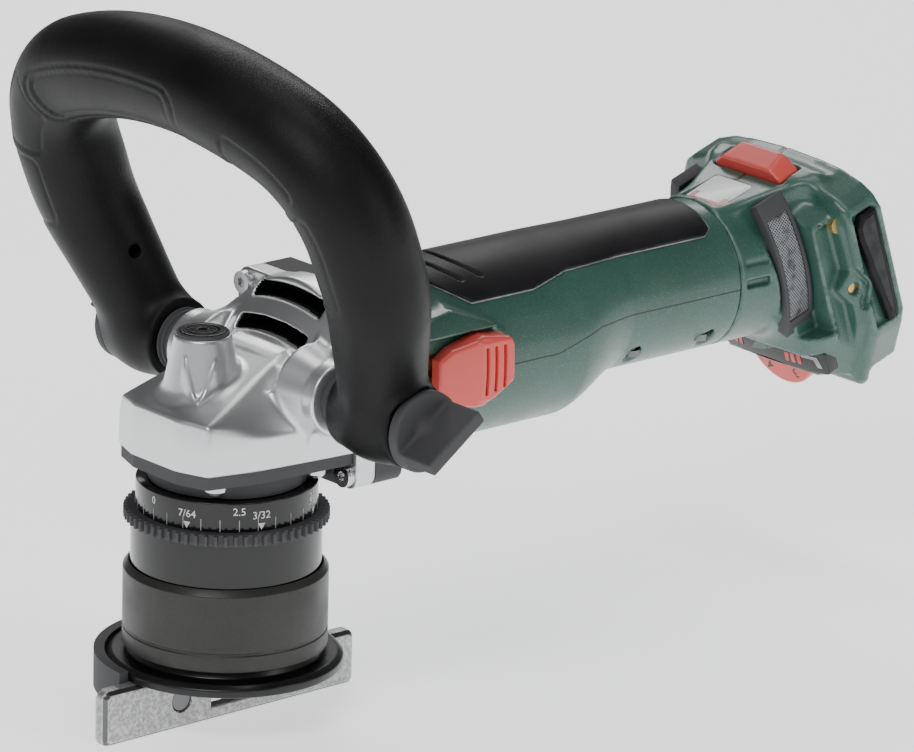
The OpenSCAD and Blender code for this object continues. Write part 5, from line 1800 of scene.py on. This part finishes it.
            def solid(i: int, j: int) -> bool:
                """Whether a cell of the plate is filled."""
                if not (0 <= i < nu and 0 <= j < nv):
                    return False
                a, b = (us[i] + us[i + 1]) / 2, (vs[j] + vs[j + 1]) / 2
                return cut is None or abs(a) > cut[0] or abs(b) > cut[1]

            for i in range(nu):
                for j in range(nv):
                    if not solid(i, j):
                        continue
                    for k in (0, 1):
                        bm.faces.new([verts[i, j, k], verts[i + 1, j, k], verts[i + 1, j + 1, k],
                                      verts[i, j + 1, k]])
                    for (a, b), (c, d), other in (((i, j), (i + 1, j), (i, j - 1)),
                                                  ((i, j + 1), (i + 1, j + 1), (i, j + 1)),
                                                  ((i, j), (i, j + 1), (i - 1, j)),
                                                  ((i + 1, j), (i + 1, j + 1), (i + 1, j))):
                        if not solid(*other):
                            bm.faces.new([verts[a, b, 0], verts[c, d, 0], verts[c, d, 1], verts[a, b, 1]])
            bmesh.ops.recalc_face_normals(bm, faces=bm.faces)
            sharp = [e for e in bm.edges if len(e.link_faces) == 2 and e.calc_face_angle(0.0) > math.radians(40)]
            bmesh.ops.bevel(bm, geom=sharp, offset=0.35 * MM, segments=2, profile=0.5, affect="EDGES",
                            clamp_overlap=True)
            loose = [v for v in bm.verts if not v.link_faces]
            bmesh.ops.delete(bm, geom=loose, context="VERTS")
            return dress(finish_bmesh(name, bm), finish)

        tag = side.name.lower()
        frame_piece = ring(f"{tag}_filter_rim", 5.7, 25.0, -4.0, 0.0, Finishes.BLACK, (4.0, 18.5))
        mount(frame_piece, f"{tag}_filter_group", "filter_frame", f"{tag}_filter_frame")
        cloth = ring(f"{tag}_filter_cloth", 4.2, 18.8, -1.3, -0.5, Finishes.MESH, None)
        mount(cloth, f"{tag}_filter_group", "filter_mesh", f"{tag}_filter_mesh")


@dataclass
class Fence:
    """The blasted fence with its bevelled border, darkened partly as the bevel's own darker metal and partly as
    painted shade for the groove line along it.
    """

    half: float = 48.5
    depth: float = 17.6
    face: float = 3.6
    thick: float = 4.5
    screw_x: float = 19.1
    screw_z: float = 8.3

    def shape(self, x: Array, y: Array, z: Array) -> Array:
        """Distance to the fence plate."""
        d = box_field(x, y, z, (-self.half, -self.face, -self.depth),
                      (self.half, self.thick - self.face, 0), 0.0)
        side = outline_field(x, z, [(-7.7, -13.1), (7.7, -13.1), (7.7, -8), (15.5, -0.6), (15.5, 5),
                                    (-15.5, 5), (-15.5, -0.6), (-7.7, -8)])
        edge = box_field(x, np.zeros_like(y), z, (-self.half, -9, -self.depth), (self.half, 9, 0), 2.5)
        d = soft_max(np.maximum(edge, d), (edge - (y + self.face) + 1.3) * 0.707, 0.2)
        d = carve(d, side, 0.4)
        for s in (-1, 1):
            d = carve(d, drum_field(x - s * self.screw_x, z + self.screw_z, y, 3.6, -9.0, -1.2), 0.4)
            d = carve(d, drum_field(x - s * self.screw_x, z + self.screw_z, y, 2.1, -9.0, 9.0), 0.3)
        return d

    def build(self) -> None:
        """Builds the fence."""
        skin = Sculptor(0.5).skin("fence_plate", self.shape, (-49, -4.6, -18), (49, 1.9, 1))
        dress(skin, Finishes.FENCE)
        # Front chamfer faces get the dark bevel material: partly their own darker metal, partly painted shade in
        # place of the uncarved groove line.
        skin.data.materials.append(Finishes.FENCE_BEVEL_SHADE.material())
        for p in skin.data.polygons:
            n = p.normal
            if -0.93 < n.y < -0.3 and abs(p.center.z) < self.depth * MM * 1.1:
                p.material_index = 1
        mount(skin, "guide_group", "fence_steel", "fence_rail")


@dataclass
class Fasteners:
    """Visible screws: domed heads with six-lobe sockets."""

    def head(self, name: str, centre: Point, axis: Point, r: float, h: float,
             finish: Finish) -> bpy.types.Object:
        """One screw head.

        Args:
            name: Object name.
            centre: Middle of its seat, in millimetres.
            axis: Direction it faces.
            r: Head radius.
            h: Head height.
            finish: Its finish.

        Returns:
            The head.
        """
        t = Vector((0, 0, 1)).rotation_difference(Vector(axis)).to_matrix()

        def shape(x: Array, y: Array, z: Array) -> Array:
            """Distance to the head."""
            d = drum_field(x, y, z, r, -0.3, h, 0.5)
            d = soft_max(d, np.sqrt(x * x + y * y + (z + r * 1.2) ** 2) - r * 1.2 - h, 0.3)
            a = np.arctan2(y, x)
            socket = soft_max(np.sqrt(x * x + y * y) - r * 0.42 * (1 + 0.14 * np.cos(6 * a)), h * 0.35 - z,
                              0.1)
            return carve(d, socket, 0.12)

        def place(p: Array) -> Array:
            """Moves points to the screw's seat."""
            return p @ np.array(t).T + np.array(centre)

        skin = Sculptor(0.2).skin(name, shape, (-r - 0.5, -r - 0.5, -0.6), (r + 0.5, r + 0.5, h + 0.5), place)
        return dress(skin, finish)

    def build(self) -> None:
        """Builds every visible head, in one piece a body."""
        heads = [self.head("h", (26.5, sy * 24.4, 84 + sz * 24.4), (-1, 0, 0), 3.6, 2.6, Finishes.STEEL)
                 for sy in (-1, 1) for sz in (-1, 1)]
        mount(join("flange_screw_heads", heads), "tool_body", "steel_screw")
        heads = [self.head("h", (x, y, 63.5), (0, 0, -1), 3.4, 2.3, Finishes.STEEL)
                 for x, y in ((-19.4, 18.6), (-19.4, -18.6), (15, 23), (15, -23))]
        mount(join("plate_screw_heads", heads), "tool_body", "steel_screw")
        heads = [self.head("h", (s * Fence.screw_x, -1.2, -Fence.screw_z), (0, -1, 0), 3.3, 1.9,
                           Finishes.DARK_STEEL) for s in (-1, 1)]
        mount(join("fence_screw_heads", heads), "guide_group", "dark_screw")


@dataclass
class CadFinishes:
    """Finishes for the CAD nodes that stay."""

    table: dict[str, Finish] = field(default_factory=lambda: {
        "bearing_plate": Finishes.BLACK, "plate_screws": Finishes.STEEL, "flange_screws": Finishes.STEEL,
        "spindle_bearing": Finishes.STEEL, "top_bush": Finishes.BRASS, "guide_tube": Finishes.DARK_STEEL,
        "air_ring": Finishes.BLACK, "motor_bearings": Finishes.STEEL, "stator": Finishes.COPPER,
        "shell_screws": Finishes.DARK_STEEL, "switch_module": Finishes.BLACK, "controller": Finishes.BOARD,
        "swivel_ring": Finishes.BLACK, "spindle": Finishes.STEEL, "bevel_gear": Finishes.DARK_STEEL,
        "cutter_head": Finishes.STEEL, "cutter_inserts": Finishes.CARBIDE,
        "insert_screws": Finishes.DARK_STEEL,
        "rotor": Finishes.DARK_STEEL, "motor_shaft": Finishes.STEEL, "cooling_fan": Finishes.BLACK,
        "bevel_pinion": Finishes.DARK_STEEL, "lock_button": Finishes.GLOSS, "lock_spring": Finishes.STEEL,
        "fence_carrier": Finishes.BLACK, "fence_screws": Finishes.DARK_STEEL, "bail_core": Finishes.CAST,
        "switch_link": Finishes.BLACK, "foot_screws": Finishes.BRASS, "battery_rails": Finishes.BLACK,
        "terminal_block": Finishes.BLACK, "terminal_blades": Finishes.BRASS, "release_spring": Finishes.STEEL,
    })

    def apply(self, nodes: dict[str, bpy.types.Object]) -> None:
        """Gives each node that stays its finish, by name."""
        for name, obj in nodes.items():
            finish = self.table.get(name, Finishes.BLACK)
            if not obj.data.materials:
                obj.data.materials.append(finish.material())
            for i in range(len(obj.data.materials)):
                obj.data.materials[i] = finish.material()


@dataclass
class Studio:
    """Floor, lights and camera."""

    floor_z: float = -16.9
    azimuth: float = -41.11
    elevation: float = 17.38
    roll: float = 1.42
    focus: Point = (0.0, 0.0, 88.0)
    shift: tuple[float, float, float] = (68.21, 1.313, 2089.55)
    lens: float = 275.71

    def axes(self) -> tuple[Vector, Vector, Vector]:
        """The camera's right, up and back directions."""
        a, e, r = (math.radians(v) for v in (self.azimuth, self.elevation, self.roll))
        right = Vector((math.cos(a), math.sin(a), 0))
        back = Vector((math.sin(a) * math.cos(e), -math.cos(a) * math.cos(e), math.sin(e)))
        up = back.cross(right)
        return (right * math.cos(r) + up * math.sin(r), up * math.cos(r) - right * math.sin(r), back)

    def build(self) -> None:
        """Builds the stage."""
        self._camera()
        self._floor()
        self._lights()

    def _camera(self) -> None:
        """Places the camera."""
        right, up, back = self.axes()
        data = bpy.data.cameras.new("camera")
        data.lens = self.lens
        data.sensor_width = 36.0
        data.clip_end = 50.0
        cam = bpy.data.objects.new("camera", data)
        bpy.context.scene.collection.objects.link(cam)
        spot = Vector(self.focus) + right * self.shift[0] + up * self.shift[1] + back * self.shift[2]
        basis = Matrix((right, up, back)).transposed().to_4x4()
        cam.matrix_world = Matrix.Translation(spot * MM) @ basis
        bpy.context.scene.camera = cam

    def _floor(self) -> None:
        """Lays the pale floor."""
        bm = bmesh.new()
        bmesh.ops.create_grid(bm, x_segments=8, y_segments=8, size=6.0)
        bmesh.ops.translate(bm, verts=bm.verts, vec=(0, 0, self.floor_z * MM))
        floor = finish_bmesh("floor", bm)
        s = Sheet("pale_floor")
        s.surface(Base_Color=s.mix(s.band(s.noise(3.0, 3.0), 0.3, 0.7), (0.93, 0.93, 0.935),
                                   (0.95, 0.95, 0.95)), Roughness=0.8,
                  Emission_Color=(0.98, 0.99, 1.0, 1.0), Emission_Strength=1.1)
        floor.data.materials.append(s.material)

    def _lights(self) -> None:
        """Hangs the soft boxes and lights the room."""
        world = bpy.data.worlds.new("studio")
        bpy.context.scene.world = world
        world.use_nodes = True
        world.node_tree.nodes["Background"].inputs[0].default_value = (1.0, 1.0, 1.0, 1.0)
        world.node_tree.nodes["Background"].inputs[1].default_value = 0.14
        for name, spot, size, power in (
            ("key", (-0.9, -0.5, 1.1), (0.7, 0.5), 8.5),
            ("fill", (0.6, -1.3, 0.5), (0.5, 0.8), 3.2),
            ("rim", (0.9, 0.9, 1.0), (0.9, 0.4), 7.0),
            ("top", (0.1, 0.0, 1.5), (1.1, 0.4), 6.0),
        ):
            data = bpy.data.lights.new(name, "AREA")
            data.shape = "RECTANGLE"
            data.size, data.size_y = size
            data.energy = power
            lamp = bpy.data.objects.new(name, data)
            bpy.context.scene.collection.objects.link(lamp)
            aim = Vector((0.07, 0, 0.08)) - Vector(spot)
            lamp.matrix_world = Matrix.Translation(Vector(spot)) @ aim.to_track_quat("-Z",
                                                                                     "Y").to_matrix().to_4x4()


def main() -> None:
    """Builds every sub-assembly in order and reports it."""
    logging.basicConfig(level=logging.INFO, format="%(name)s %(message)s")
    Studio().build()
    CadFinishes().apply(frame["nodes"])
    BailHandle().build()
    WingLever(Side.NEAR).build()
    WingLever(Side.FAR, face=65.4, wing=8.0).build()
    GearHead().build()
    MotorHousing().build()
    DepthAdjuster().build()
    Fence().build()
    BatteryFoot().build()
    Fasteners().build()


if __name__ == "__main__":
    main()
